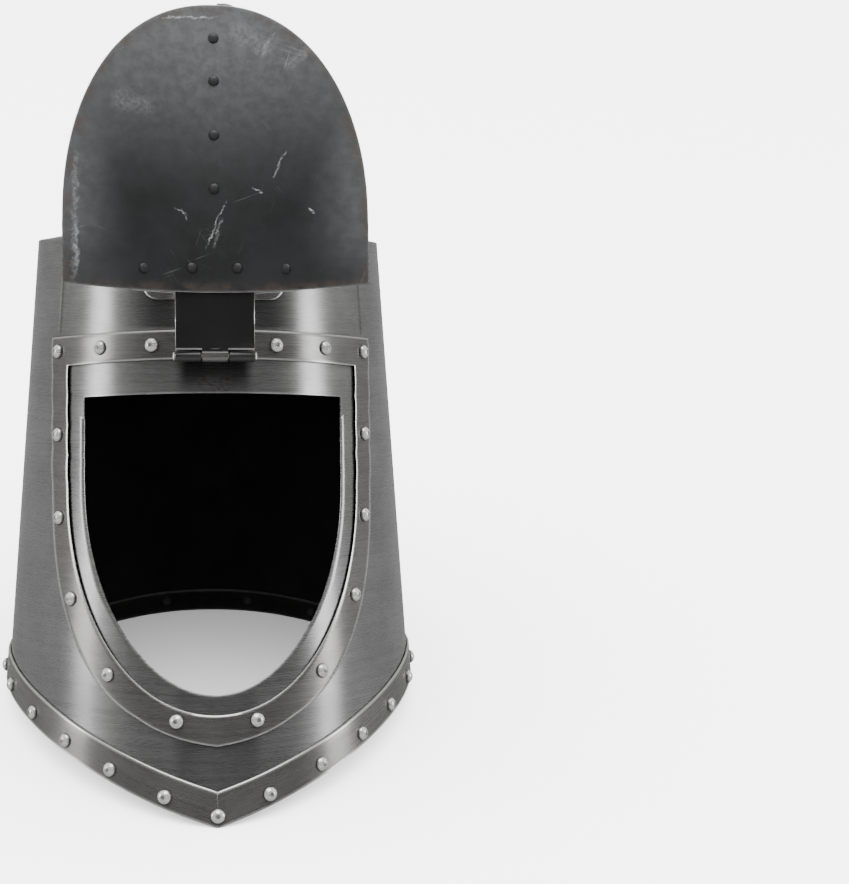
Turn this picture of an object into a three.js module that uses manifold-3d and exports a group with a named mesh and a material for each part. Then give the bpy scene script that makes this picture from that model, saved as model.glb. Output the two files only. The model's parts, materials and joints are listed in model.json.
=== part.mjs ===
// A great helm of riveted steel plates, with its hinged visor turned up.
// Millimetres. The helm is drawn as it is worn: +Z up, the face towards -Y, +X to the wearer's left,
// with y = 0 and z = 0 at the pointed tip of the front. It is then leaned back until the tip and the
// back of the lower rim stand on the plane z = 0.
import * as THREE from 'three';
import { mergeVertices } from 'three/addons/utils/BufferGeometryUtils.js';
import Module from 'manifold-3d';

const wasm = await Module();
wasm.setup();

const { PI, abs, acos, asin, atan, cos, floor, hypot, max, min, sign, sin, tan } = Math;
const rad = THREE.MathUtils.degToRad;

// Sheet metal and fits
const sheet = 1.2; // wall, cap and visor plate
const trim = 1.5; // bands, frame and straps
const gap = 0.3; // clearance between pieces that touch

// Wall, outer face
const topZ = 338;
const sideHalfTop = 106.5;
const sideHalfFoot = 131.5;
const frontTopY = 44;
const frontFootY = 2.4;
const widestY = 155;
const backReach = 114.8;
const frontPower = 1.7; // 2 is an ellipse, less is more pointed

// Facets of the wall round the plan; the plates end on these columns
const wallColumns = 48;
const wallStep = rad(360 / wallColumns);
const wallRows = 3;

// Side seams, as angles round the plan from the front
const frontPlateEnd = 15 * wallStep;
const backPlateStart = 13 * wallStep;
const seamAngle = rad(107);
const seamRivetCount = 7;
const seamTopDrop = 17;
const seamFootRise = 30;

// Lower rim
const backFootZ = 90; // height of the back edge over the tip, as worn
const rimRise = 17; // how far the sides arch above the resting plane
const rimCrestAngle = rad(60);
const rimFlatAngle = rad(150);
const rimBandHeight = 19;
const rimLipHeight = 14; // the band's inner leg
const rimRivetRise = 6.5;
const rimRivetAngles = [16.4, 31.5, 45.3, 58.7, 73.9, 90, 108.5, 125.7, 144, 166.5].map(rad);

// Top cap
const capRise = 12;
const capFlange = 10;

// Brow band and face frame
const browDrop = 77.6; // top edge of the wall to the ends of the brow band's lower edge
const browHeight = 16.8;
const browArch = 5;
const frameSide = 10.3;
const frameFoot = 11.5;
const framePoint = 6; // drop of the pointed foot of the frame
const framePointHalf = 45;
const frameInnerPower = 2.15;
const frameOuterPower = 2.6;
const frameSideRivetShare = 0.415;
const frameRivetAngles = [6, 26, 51, 79].map(rad);
const browRivetShares = [0.39, 0.72];

// Face opening
const openingHalf = 76;
const openingFootZ = 74;
const openingCurve = 116; // height of the rounded lower part
const openingArch = 3.5;
const openingPower = 2;
const lintel = 18.4; // wall left between the opening and the brow band
const ledgeSide = 9.5; // wall left beside the opening, inside the frame
const ledgeFoot = 11;

// Hinge
const hingeOverBrow = 1.4; // axis above the middle of the brow band's lower edge
const knuckleRadius = 3.3;
const knuckleLength = 15;
const knuckleBite = 1; // depth to which a knuckle is rolled into its leaf
const knucklePlay = 0.4;
const pinRadius = 1.4;
const pinHeadRadius = 2.4;
const pinHeadLength = 1;
const openAngle = rad(179);

// Hinge plate
const earHalf = 41.5;
const earHeight = 24.5;
const earDrop = 14;
const earRadius = 9;
const earRivetX = 30.4;
const leafRivetRise = 11.7;
const hingeFollow = 0.35; // share of the wall's curve that a leaf keeps at the hinge

// Visor
const visorPlay = 2;
const slitHeight = 16.5;
const visorArch = 5;
const strapHalf = 22.6;
const strapFollow = 0.9; // share of the wall's curve that the strap keeps below the hinge
const strapFootRise = 4.5;
const crossHalf = 52;
const crossHeight = 29;
const crossArch = 2;
const crossRadius = 8;
const crossTopRise = 1;
const crossLevel = 4.5; // run beyond the strap at the strap's level
const crossBlend = 11; // then the length over which the bar comes down to the plate
const crossRivetShares = [0.27, 0.8];
const strapRivetShares = [0.235, 0.465, 0.7, 0.885];

// Lower strap outline: share of the length from cross bar to foot, share of the strap's half width
const strapOutline = [
  { along: 0, half: 1 },
  { along: 0.1, half: 0.97 },
  { along: 0.22, half: 0.8 },
  { along: 0.39, half: 0.755 },
  { along: 0.56, half: 0.8 },
  { along: 0.73, half: 0.88 },
  { along: 0.86, half: 0.95 },
];

// Latch hook: share of the strap's half width, share of the height from the third rivet to the foot
const hookRadius = 0.9;
const hookPath = [
  { across: 0.06, along: 0.1 },
  { across: 0.13, along: 0.32 },
  { across: 0.27, along: 0.54 },
  { across: 0.49, along: 0.63 },
  { across: 0.74, along: 0.76 },
  { across: 0.7, along: 0.87 },
  { across: 0.4, along: 0.96 },
  { across: 0.09, along: 0.97 },
];

// Rivets
const headRadius = 4.3;
const headHeight = 3.2;
const shoulderRadiusShare = 0.62; // the ring halfway up the dome
const shoulderHeightShare = 0.8;
const shankRadius = 2;
const tailRadius = 2.9;
const tailHeight = 1.1;
const seamBite = 0.2; // depth to which the fused heads are sunk in the wall

// Other facets
const capRings = 2;
const rivetSides = 6;
const holeSides = 4;
const knuckleSides = 12;
const pinSides = 6;
const hingePlateRows = 6;
const frameCurveSteps = 8;
const browSteps = 6;
const cornerSteps = 3;
const strapSideSteps = 9;
const strapEndSteps = 4;
const hookSteps = 20;
const hookSides = 6;
const rimPasses = 6; // rounds of substitution that settle a point of the rim
const weldDistance = 1e-4;
const flatness = 0.06; // facets that are flat to within this are joined
const shortestSide = gap / 10; // shorter sides of an outline are left out

// Layers, as distances out from the wall's outer face
const wallInner = -sheet;
const backOuter = -(sheet + gap);
const backInner = backOuter - sheet;
const trimInner = gap;
const trimOuter = trimInner + trim;
const leafInner = trimOuter + gap;
const plateInner = gap;
const plateOuter = plateInner + sheet;
const strapInner = plateOuter + gap;
const strapOuter = strapInner + trim;
const hingeOut = strapOuter + knuckleRadius - knuckleBite;
const rimTuck = trim + gap; // the plates end in the fold of the rim band

// Heights that follow from the sizes above
const restSlope = backFootZ / (widestY + backReach);
const browFootZ = topZ - browDrop;
const hingeZ = browFootZ + browArch + hingeOverBrow;
const openingTopZ = browFootZ - lintel;
const curveZ = openingFootZ + openingCurve;
const frameInnerHalf = openingHalf + ledgeSide;
const frameOuterHalf = frameInnerHalf + frameSide;
const frameInnerFootZ = openingFootZ - ledgeFoot;
const frameOuterFootZ = frameInnerFootZ - frameFoot;
const visorHalf = frameInnerHalf - visorPlay;
const visorFootZ = frameInnerFootZ + visorPlay;
const visorTopZ = openingTopZ - slitHeight;
const crossTopZ = visorTopZ + visorArch + crossTopRise;
const crossFootZ = crossTopZ - crossHeight;
const strapFootZ = visorFootZ + strapFootRise;
const browTopZ = browFootZ + browHeight + browArch;
const earTopZ = topZ - earDrop;
const earFootZ = earTopZ - earHeight;
const hingeY = frontY(0, hingeZ, hingeOut);
const knucklePitch = knuckleLength + knucklePlay;
const pinHalf = knucklePitch + knuckleLength / 2 + gap;
const wallLevels = spread(0, topZ, wallRows);
const strapLevels = [0, crossTopZ, (crossTopZ + hingeZ) / 2, hingeZ, topZ];

// Finishes
const brushed = { color: 0x8b8c8d, roughness: 0.38, metalness: 1 };
const trimmed = { color: 0x77787a, roughness: 0.42, metalness: 1 };
const blackened = { color: 0x3b3d40, roughness: 0.55, metalness: 1 };
const polished = { color: 0xc9c8c4, roughness: 0.22, metalness: 1 };

// The wall as a ruled surface: straight from the foot to the top at each angle round the plan.
// Its front half is a superellipse, its back half an ellipse, and `out` sets both off outwards.
function sideHalf(z) {
  return sideHalfFoot + ((sideHalfTop - sideHalfFoot) * z) / topZ;
}

function frontDepth(z) {
  return widestY - frontFootY - ((frontTopY - frontFootY) * z) / topZ;
}

function wallPoint(angle, z, out = 0) {
  const across = sin(angle);
  const along = cos(angle);
  if (along <= 0) {
    return new THREE.Vector3((sideHalf(z) + out) * across, widestY - (backReach + out) * along, z);
  }
  const power = 2 / frontPower;
  return new THREE.Vector3(
    (sideHalf(z) + out) * sign(across) * abs(across) ** power,
    widestY - (frontDepth(z) + out) * along ** power,
    z,
  );
}

function frontAngle(x, z, out = 0) {
  const share = min(abs(x) / (sideHalf(z) + out), 1);
  return sign(x) * asin(share ** (frontPower / 2));
}

function frontY(x, z, out = 0) {
  return wallPoint(frontAngle(x, z, out), z, out).y;
}

// An angle round the plan, measured from the front on either side
function folded(angle) {
  return acos(cos(angle));
}

// The lower edge: the resting plane, with an arch over each side.
function rimZ(angle, y) {
  const turn = folded(angle);
  const rise = turn < rimCrestAngle
    ? sin((PI / 2) * (turn / rimCrestAngle))
    : cos((PI / 2) * min((turn - rimCrestAngle) / (rimFlatAngle - rimCrestAngle), 1)) ** 2;
  return restSlope * y + rimRise * rise;
}

function rimPoint(angle, out, above) {
  let point = wallPoint(angle, rimZ(angle, widestY) + above, out);
  for (let pass = 0; pass < rimPasses; pass += 1) {
    point = wallPoint(angle, rimZ(angle, point.y) + above, out);
  }
  return point;
}

function archZ(x, half, rise) {
  return rise * (1 - (x / half) ** 2);
}

// Solids
function volumeOf(position, index) {
  const corner = (k) => new THREE.Vector3().fromArray(position, 3 * index[k]);
  let volume = 0;
  for (let k = 0; k < index.length; k += 3) {
    volume += corner(k).dot(corner(k + 1).cross(corner(k + 2)));
  }
  return volume / 6;
}

// A closed skin over stations that each hold the same number of corners: the outer corners in
// order, then the inner ones backwards. Open ends are closed between outer and inner corners.
function sweep(stations, closed) {
  const count = stations.length;
  const corners = stations[0].length;
  const position = stations.flat().flatMap((point) => point.toArray());
  const at = (i, j) => (i % count) * corners + (j % corners);
  const index = [];
  const quad = (a, b, c, d) => index.push(a, b, c, a, c, d);
  for (let i = 0; i < (closed ? count : count - 1); i += 1) {
    for (let j = 0; j < corners; j += 1) {
      quad(at(i, j), at(i + 1, j), at(i + 1, j + 1), at(i, j + 1));
    }
  }
  if (!closed) {
    const last = count - 1;
    for (let j = 0; j < corners / 2 - 1; j += 1) {
      const k = corners - 1 - j;
      quad(at(0, j), at(0, j + 1), at(0, k - 1), at(0, k));
      quad(at(last, k), at(last, k - 1), at(last, j + 1), at(last, j));
    }
  }
  const geometry = new THREE.BufferGeometry();
  geometry.setAttribute('position', new THREE.Float32BufferAttribute(position, 3));
  geometry.setIndex(index);
  return solid(geometry);
}

function solid(geometry) {
  const bare = geometry.clone();
  bare.deleteAttribute('normal');
  bare.deleteAttribute('uv');
  const merged = mergeVertices(bare, weldDistance);
  const found = merged.getIndex().array;
  const triVerts = [];
  for (let k = 0; k < found.length; k += 3) {
    const [a, b, c] = [found[k], found[k + 1], found[k + 2]];
    if (a !== b && b !== c && c !== a) {
      triVerts.push(a, b, c);
    }
  }
  const corners = merged.getAttribute('position').array;
  if (volumeOf(corners, triVerts) < 0) {
    triVerts.reverse();
  }
  const mesh = new wasm.Mesh({
    numProp: 3,
    vertProperties: new Float32Array(corners),
    triVerts: new Uint32Array(triVerts),
  });
  return new wasm.Manifold(mesh);
}

function surfaceOf(body) {
  const mesh = body.simplify(flatness).getMesh();
  const geometry = new THREE.BufferGeometry();
  geometry.setAttribute('position', new THREE.Float32BufferAttribute(mesh.vertProperties, 3));
  geometry.setIndex(Array.from(mesh.triVerts));
  return geometry;
}

// A front-view outline carried straight back through the front half of the helm.
function through(points) {
  const shape = new THREE.Shape(points.map(([x, z]) => new THREE.Vector2(x, z)));
  const reach = widestY + 2 * hingeOut;
  const geometry = new THREE.ExtrudeGeometry(shape, { depth: reach, bevelEnabled: false });
  geometry.rotateX(PI / 2);
  geometry.translate(0, widestY, 0);
  return solid(geometry);
}

function spread(from, to, steps) {
  return Array.from({ length: steps + 1 }, (unused, k) => from + ((to - from) * k) / steps);
}

// A plate pressed to a front surface: the outline cut from a sheet whose inner face is depth(x, z, 0)
// and whose outer face is depth(x, z, thick). Its columns are the wall's own, so that gaps stay even.
function pressed(points, depth, thick, levels = wallLevels) {
  const reach = frontAngle(max(...points.map(([x]) => x)), topZ);
  const columns = Math.ceil(reach / wallStep);
  const place = (angle, z, layer) => {
    const { x } = wallPoint(angle, z);
    return new THREE.Vector3(x, depth(x, z, layer), z);
  };
  const stations = spread(-columns, columns, 2 * columns).map((column) => [
    ...levels.map((z) => place(column * wallStep, z, thick)),
    ...levels.toReversed().map((z) => place(column * wallStep, z, 0)),
  ]);
  return sweep(stations, false).intersect(through(points));
}

// Rows that reach a little over an outline's foot and head
function rowsOver(points, rows) {
  const zs = points.map(([, z]) => z);
  return spread(min(...zs) - trim, max(...zs) + trim, rows);
}

function mirrored(right) {
  const left = right.toReversed().map(([x, z]) => [-x, z]);
  return [...right, ...left].filter(([x, z], k, all) => {
    const [px, pz] = all[(k + all.length - 1) % all.length];
    return hypot(x - px, z - pz) > shortestSide;
  });
}

function curveShare(angle, power) {
  return [cos(angle) ** (2 / power), sin(angle) ** (2 / power)];
}

// The rounded lower part of an outline, from the side down to the middle of the foot
function lowerCurve(half, footZ, power, steps) {
  return spread(0, PI / 2, steps).map((angle) => {
    const [across, down] = curveShare(angle, power);
    return [half * across, curveZ - (curveZ - footZ) * down];
  });
}

// An arched upper edge, from its end to the middle
function upperArch(half, endZ, rise) {
  return spread(half, 0, browSteps).map((x) => [x, endZ + archZ(x, half, rise)]);
}

// The outline of an opening or plate with a rounded foot, straight sides and an arched top
function shield(half, footZ, power, endZ, rise) {
  const foot = lowerCurve(half, footZ, power, frameCurveSteps).toReversed();
  return mirrored([...foot, ...upperArch(half, endZ, rise)]);
}

function rounded(cornerX, cornerZ, radius, fromAngle, toAngle) {
  return spread(fromAngle, toAngle, cornerSteps).map((angle) => [
    cornerX + radius * cos(angle),
    cornerZ + radius * sin(angle),
  ]);
}

// Rivets: domed head, shank and hammered tail, along +Z with the head's seat at z = 0
function rivetShape(grip) {
  const profile = [
    [0, headHeight],
    [headRadius * shoulderRadiusShare, headHeight * shoulderHeightShare],
    [headRadius, 0],
    [shankRadius, 0],
    [shankRadius, -grip],
    [tailRadius, -grip],
    [0, -grip - tailHeight],
  ].map(([r, z]) => new THREE.Vector2(r, z));
  const geometry = new THREE.LatheGeometry(profile.toReversed(), rivetSides);
  return geometry.rotateX(PI / 2);
}

// A rivet's place: where it enters its seat, which way it points and how much metal it grips
function rivetPlace(point, normal, grip) {
  const turn = new THREE.Quaternion().setFromUnitVectors(new THREE.Vector3(0, 0, 1), normal);
  return { point, normal, grip, turn };
}

// A point on the facet between two columns of the wall
function facetPoint(angle, z, out) {
  const column = floor(angle / wallStep);
  const from = wallPoint(column * wallStep, z, out);
  return from.lerp(wallPoint((column + 1) * wallStep, z, out), angle / wallStep - column);
}

// The same for a pressed skin, as y over a front place
function facetY(x, z, depth, layer) {
  const column = floor(frontAngle(x, z) / wallStep);
  const left = wallPoint(column * wallStep, z).x;
  const right = wallPoint((column + 1) * wallStep, z).x;
  const [from, to] = [depth(left, z, layer), depth(right, z, layer)];
  return from + ((to - from) * (x - left)) / (right - left);
}

// A tail lies flat, so it needs the more grip the more the plate bends away within its radius.
function placeOnWall(angle, z, outer, inner) {
  const turn = tailRadius / sideHalfFoot;
  const point = facetPoint(angle, z, outer);
  const [before, after] = [facetPoint(angle - turn, z, outer), facetPoint(angle + turn, z, outer)];
  const upward = facetPoint(angle, z + 1, outer).sub(facetPoint(angle, z - 1, outer));
  const normal = after.clone().sub(before).cross(upward).normalize();
  const bend = point.clone().sub(before.lerp(after, 1 / 2)).dot(normal);
  return rivetPlace(point, normal, outer - inner + max(bend, 0));
}

function placeOnPressed(x, z, depth, thick, inner) {
  const outerY = (across, up) => facetY(x + across, z + up, depth, thick);
  const innerY = (across, up) => facetY(x + across, z + up, frontY, inner);
  const slopes = (y) => new THREE.Vector3(y(1, 0) - y(-1, 0), -2, y(0, 1) - y(0, -1)).normalize();
  const normal = slopes(outerY);
  const lean = normal.angleTo(slopes(innerY));
  const bend = (innerY(tailRadius, 0) + innerY(-tailRadius, 0)) / 2 - innerY(0, 0);
  const grip = (innerY(0, 0) - outerY(0, 0)) * -normal.y;
  const place = new THREE.Vector3(x, outerY(0, 0), z);
  return rivetPlace(place, normal, grip + max(bend, 0) + tailRadius * tan(lean));
}

function placed(geometry, place, lift) {
  const matrix = new THREE.Matrix4().compose(
    place.point.clone().addScaledVector(place.normal, lift),
    place.turn,
    new THREE.Vector3(1, 1, 1),
  );
  return geometry.clone().applyMatrix4(matrix);
}

// Holes for the given rivets, wider than the shank by the clearance all round
function drilled(body, places) {
  const radius = (shankRadius + gap) / cos(PI / holeSides);
  return places.reduce((left, place) => {
    const length = 2 * (place.grip + headHeight + tailHeight);
    const drill = new THREE.CylinderGeometry(radius, radius, length, holeSides);
    drill.rotateX(PI / 2);
    return left.subtract(solid(placed(drill, place, 0)));
  }, body);
}

function cylinderAlongX(radius, length, sides, centre) {
  const geometry = new THREE.CylinderGeometry(radius, radius, length, sides);
  geometry.rotateZ(PI / 2);
  geometry.translate(centre.x, centre.y, centre.z);
  return solid(geometry);
}

// Skins of the pressed pieces, as y over a front place, from the inner face (layer 0) outwards
function eased(from, to, share) {
  const t = min(max(share, 0), 1);
  return from + (to - from) * t * t * (3 - 2 * t);
}

// A skin that follows the wall by the share `follow` of its curve
function flattened(x, z, out, follow) {
  const middle = frontY(0, z, out);
  return middle + follow * (frontY(x, z, out) - middle);
}

function visorY(x, z, layer) {
  return frontY(x, z, plateInner + layer);
}

function frameY(x, z, layer) {
  return frontY(x, z, trimInner + layer);
}

// The strap lies on the visor plate and flattens towards the hinge.
function followAt(z) {
  return eased(strapFollow, hingeFollow, (z - crossTopZ) / (hingeZ - crossTopZ));
}

function strapY(x, z, layer) {
  return flattened(x, z, strapInner + layer, followAt(z));
}

// The cross bar lies on the strap, then comes down on each side to the visor plate.
function crossY(x, z, layer) {
  const share = (abs(x) - strapHalf - crossLevel) / crossBlend;
  const out = eased(strapOuter + gap, strapInner, share) + layer;
  return flattened(x, z, out, eased(followAt(z), 1, share));
}

// The hinge plate lies flat on the brow band, then comes back to the wall at its ears.
function hingeLeafY(x, z, layer) {
  const share = (z - browTopZ - gap) / (earFootZ - browTopZ - gap);
  const out = eased(leafInner, trimInner, share) + layer;
  return flattened(x, z, out, eased(hingeFollow, 1, share));
}

// The rim band lies on the front plate, then steps in to the back plate behind the seam.
function bandOut(angle) {
  const share = (folded(angle) - frontPlateEnd) / wallStep;
  return trimInner + backOuter * min(max(share, 0), 1);
}

// The cap's flange and the rim band's inner leg lie in the front plate, then step in where the
// back plate begins.
function liningOut(angle) {
  const share = (folded(angle) - backPlateStart) / wallStep + 1;
  return backOuter + backOuter * min(max(share, 0), 1);
}

// Places of the rivets
const rimPlaces = [0, ...rimRivetAngles.flatMap((angle) => [-angle, angle])].map((angle) => {
  const inner = liningOut(angle) - trim;
  const outer = bandOut(angle) + trim;
  return { angle, ...placeOnWall(angle, rimPoint(angle, outer, rimRivetRise).z, outer, inner) };
});

const framePlaces = [-1, 1].flatMap((side) => {
  const half = (frameInnerHalf + frameOuterHalf) / 2;
  const footZ = (frameInnerFootZ + frameOuterFootZ) / 2;
  const power = (frameInnerPower + frameOuterPower) / 2;
  const lower = frameRivetAngles.map((angle) => {
    const [across, down] = curveShare(angle, power);
    return [half * across, curveZ - (curveZ - footZ) * down];
  });
  const upper = [half, curveZ + (browFootZ - curveZ) * frameSideRivetShare];
  return [upper, ...lower].map(([x, z]) => placeOnPressed(side * x, z, frameY, trim, wallInner));
});

const browPlaces = [-1, 1].flatMap((side) => [...browRivetShares, 1].map((share) => {
  const half = (frameInnerHalf + frameOuterHalf) / 2;
  const z = browFootZ + browHeight / 2 + archZ(half * share, half, browArch);
  return placeOnPressed(side * half * share, z, frameY, trim, wallInner);
}));

const seamPlaces = [-1, 1].flatMap((side) => {
  const angle = side * seamAngle;
  const footZ = rimPoint(angle, 0, seamFootRise).z;
  return spread(footZ, topZ - seamTopDrop, seamRivetCount - 1).map((z) =>
    placeOnWall(angle, z, 0, backInner));
});

const earPlaces = [-1, 1].map((side) =>
  placeOnPressed(side * earRivetX, (earTopZ + earFootZ) / 2, hingeLeafY, trim, wallInner));

const leafPlace = placeOnPressed(0, hingeZ + leafRivetRise, hingeLeafY, trim, wallInner);

const hingePlatePlaces = [...earPlaces, leafPlace];

const strapPlaces = strapRivetShares.map((share) =>
  placeOnPressed(0, crossFootZ + (strapFootZ - crossFootZ) * share, strapY, trim, plateInner));

const crossPlaces = [-1, 1].flatMap((side) => crossRivetShares.map((share) =>
  placeOnPressed(side * crossHalf * share, (crossTopZ + crossFootZ) / 2, crossY, trim, plateInner)));

// Wall plates
function wallSheet(from, to, outer, inner) {
  const steps = Math.ceil((to - from) / wallStep);
  const upper = wallLevels.slice(1);
  return sweep(spread(from, to, steps).map((angle) => [
    rimPoint(angle, outer, rimTuck),
    ...upper.map((z) => wallPoint(angle, z, outer)),
    ...upper.toReversed().map((z) => wallPoint(angle, z, inner)),
    rimPoint(angle, inner, rimTuck),
  ]), false);
}

function frontPlate() {
  const opening = shield(openingHalf, openingFootZ, openingPower, openingTopZ, openingArch);
  const plate = wallSheet(-frontPlateEnd, frontPlateEnd, 0, wallInner).subtract(through(opening));
  const rimHoles = rimPlaces.filter(({ angle }) => abs(angle) < frontPlateEnd);
  const pierced = drilled(plate, [...rimHoles, ...framePlaces, ...browPlaces, ...hingePlatePlaces]);
  return seamPlaces.reduce((body, place) => {
    const rivet = rivetShape(place.grip + gap - seamBite);
    return body.add(solid(placed(rivet, place, -seamBite)));
  }, pierced);
}

function backPlate() {
  const plate = wallSheet(backPlateStart, 2 * PI - backPlateStart, backOuter, backInner);
  const rimHoles = rimPlaces.filter(({ angle }) => abs(angle) > backPlateStart);
  return drilled(plate, [...seamPlaces, ...rimHoles]);
}

// A shallow dome with a flange turned down inside the wall
function topCap() {
  const middle = new THREE.Vector3(0, (frontTopY + widestY + backReach) / 2, topZ);
  const turns = spread(0, 2 * PI, wallColumns).slice(0, -1);
  return sweep(turns.map((angle) => {
    const dome = (out, drop) => {
      const edge = wallPoint(angle, topZ, out);
      return spread(1, 0, capRings).map((share) => {
        const point = middle.clone().lerp(edge, share);
        point.z += capRise * (1 - share ** 2) - drop;
        return point;
      });
    };
    const outer = liningOut(angle);
    const inner = outer - sheet;
    return [
      wallPoint(angle, topZ - capFlange, outer),
      ...dome(outer, 0),
      ...dome(inner, sheet).toReversed(),
      wallPoint(angle, topZ - capFlange, inner),
    ];
  }), true);
}

// The rim band is folded up over the lower edge of the plates, with a tall leg outside and a lower
// one inside.
function rimBand() {
  const turns = spread(0, 2 * PI, wallColumns).slice(0, -1);
  const band = sweep(turns.map((angle) => {
    const outerLeg = bandOut(angle);
    const innerLeg = liningOut(angle);
    return [
      rimPoint(angle, outerLeg + trim, 0),
      rimPoint(angle, outerLeg + trim, rimBandHeight),
      rimPoint(angle, outerLeg, rimBandHeight),
      rimPoint(angle, outerLeg, trim),
      rimPoint(angle, innerLeg, trim),
      rimPoint(angle, innerLeg, rimLipHeight),
      rimPoint(angle, innerLeg - trim, rimLipHeight),
      rimPoint(angle, innerLeg - trim, 0),
    ];
  }), true);
  return drilled(band, rimPlaces);
}

// The frame's outer outline ends below in a shallow point.
function faceFrame() {
  const outer = lowerCurve(frameOuterHalf, frameOuterFootZ, frameOuterPower, frameCurveSteps)
    .map(([x, z]) => [x, z - framePoint * max(1 - x / framePointHalf, 0)]);
  const outline = mirrored([
    ...outer.toReversed(),
    ...upperArch(frameOuterHalf, browTopZ - browArch, browArch),
  ]);
  const inside = shield(frameInnerHalf, frameInnerFootZ, frameInnerPower, browFootZ, browArch);
  const frame = pressed(outline, frameY, trim).subtract(through(inside));
  return drilled(frame, [...framePlaces, ...browPlaces, leafPlace]);
}

// Hinge: the plate holds the outer knuckles, the visor strap the middle one
function knuckle(middleX) {
  const centre = new THREE.Vector3(middleX, hingeY, hingeZ);
  return cylinderAlongX(knuckleRadius, knuckleLength, knuckleSides, centre);
}

function bored(body) {
  const centre = new THREE.Vector3(0, hingeY, hingeZ);
  return body.subtract(cylinderAlongX(pinRadius + gap, 2 * pinHalf, pinSides, centre));
}

function block(width, fromY, toY, fromZ, toZ) {
  const box = new THREE.BoxGeometry(width, toY - fromY, toZ - fromZ);
  return solid(box.translate(0, (fromY + toY) / 2, (fromZ + toZ) / 2));
}

function hingePlate() {
  const outline = mirrored([
    [strapHalf, hingeZ],
    [strapHalf, earFootZ],
    ...rounded(earHalf - earRadius, earFootZ + earRadius, earRadius, -PI / 2, 0),
    ...rounded(earHalf - earRadius, earTopZ - earRadius, earRadius, 0, PI / 2),
  ]);
  const notchTop = hingeZ + knuckleRadius + knucklePlay;
  const notch = block(
    knuckleLength + 2 * knucklePlay,
    hingeY - 2 * knuckleRadius,
    hingeY + 2 * hingeOut,
    hingeZ - knuckleRadius,
    notchTop,
  );
  const sheetLeaf = pressed(outline, hingeLeafY, trim, rowsOver(outline, hingePlateRows));
  const leaf = drilled(sheetLeaf, hingePlatePlaces).subtract(notch);
  return bored(leaf.add(knuckle(-knucklePitch)).add(knuckle(knucklePitch)));
}

function hingePin() {
  const profile = [
    [0, -pinHalf - pinHeadLength],
    [pinHeadRadius, -pinHalf - pinHeadLength / 2],
    [pinHeadRadius, -pinHalf],
    [pinRadius, -pinHalf],
    [pinRadius, pinHalf],
    [pinHeadRadius, pinHalf],
    [pinHeadRadius, pinHalf + pinHeadLength / 2],
    [0, pinHalf + pinHeadLength],
  ].map(([r, x]) => new THREE.Vector2(r, x));
  const pin = new THREE.LatheGeometry(profile, pinSides).rotateZ(PI / 2);
  return solid(pin.translate(0, hingeY, hingeZ));
}

// Visor
function visorPlate() {
  const outline = shield(visorHalf, visorFootZ, frameInnerPower, visorTopZ, visorArch);
  return drilled(pressed(outline, visorY, sheet), [...strapPlaces, ...crossPlaces]);
}

function visorStrap() {
  const rows = strapOutline.map(({ along, half }) =>
    new THREE.Vector2(strapHalf * half, crossFootZ + (strapFootZ - crossFootZ) * along));
  const side = new THREE.SplineCurve(rows).getPoints(strapSideSteps).map(({ x, y }) => [x, y]);
  const [endHalf, endZ] = side.at(-1);
  const end = spread(-PI / 2, 0, strapEndSteps).slice(0, -1).map((angle) => [
    endHalf * cos(angle),
    endZ + (endZ - strapFootZ) * sin(angle),
  ]);
  const tabHalf = knuckleLength / 2;
  const shoulderZ = hingeZ - knuckleRadius - knucklePlay;
  const outline = mirrored([
    ...end,
    ...side.toReversed(),
    [strapHalf, shoulderZ],
    [tabHalf, shoulderZ],
    [tabHalf, browFootZ + browArch - gap],
  ]);
  const sheetLeaf = pressed(outline, strapY, trim, strapLevels);
  const leaf = drilled(sheetLeaf, [...strapPlaces, ...crossPlaces]);
  const neck = block(knuckleLength, hingeY, hingeY + hingeOut - leafInner, shoulderZ, hingeZ);
  return bored(leaf.add(neck).add(knuckle(0)));
}

function crossBar() {
  const flat = crossHalf - crossRadius;
  const outline = mirrored([
    ...rounded(flat, crossFootZ + crossRadius, crossRadius, -PI / 2, 0),
    ...rounded(flat, crossTopZ - crossArch - crossRadius, crossRadius, 0, PI / 2),
    ...upperArch(flat, crossTopZ - crossArch, crossArch).slice(1),
  ]);
  return drilled(pressed(outline, crossY, trim), crossPlaces);
}

function latchHook() {
  const fromZ = crossFootZ + (strapFootZ - crossFootZ) * strapRivetShares[2];
  const points = hookPath.map(({ across, along }) => {
    const x = strapHalf * across;
    const z = fromZ + (frameInnerFootZ - fromZ) * along;
    return new THREE.Vector3(x, strapY(x, z, trim + gap + hookRadius), z);
  });
  const ring = spread(0, 2 * PI, hookSides).slice(0, -1).map((angle) =>
    new THREE.Vector2(hookRadius * cos(angle), hookRadius * sin(angle)));
  const path = new THREE.CatmullRomCurve3(points);
  return solid(new THREE.ExtrudeGeometry(new THREE.Shape(ring), {
    steps: hookSteps,
    extrudePath: path,
    bevelEnabled: false,
  }));
}

// Scene: every piece is drawn in the worn helm; the visor's pieces hang in a group on its hinge.
const helm = new THREE.Group();
const visor = new THREE.Group();
const hingeAxis = new THREE.Vector3(0, hingeY, hingeZ);

function addPiece(group, name, body, finish) {
  const geometry = surfaceOf(body);
  if (group === visor) {
    geometry.translate(-hingeAxis.x, -hingeAxis.y, -hingeAxis.z);
  }
  const mesh = new THREE.Mesh(geometry, new THREE.MeshStandardMaterial(finish));
  mesh.name = name;
  group.add(mesh);
}

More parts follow.
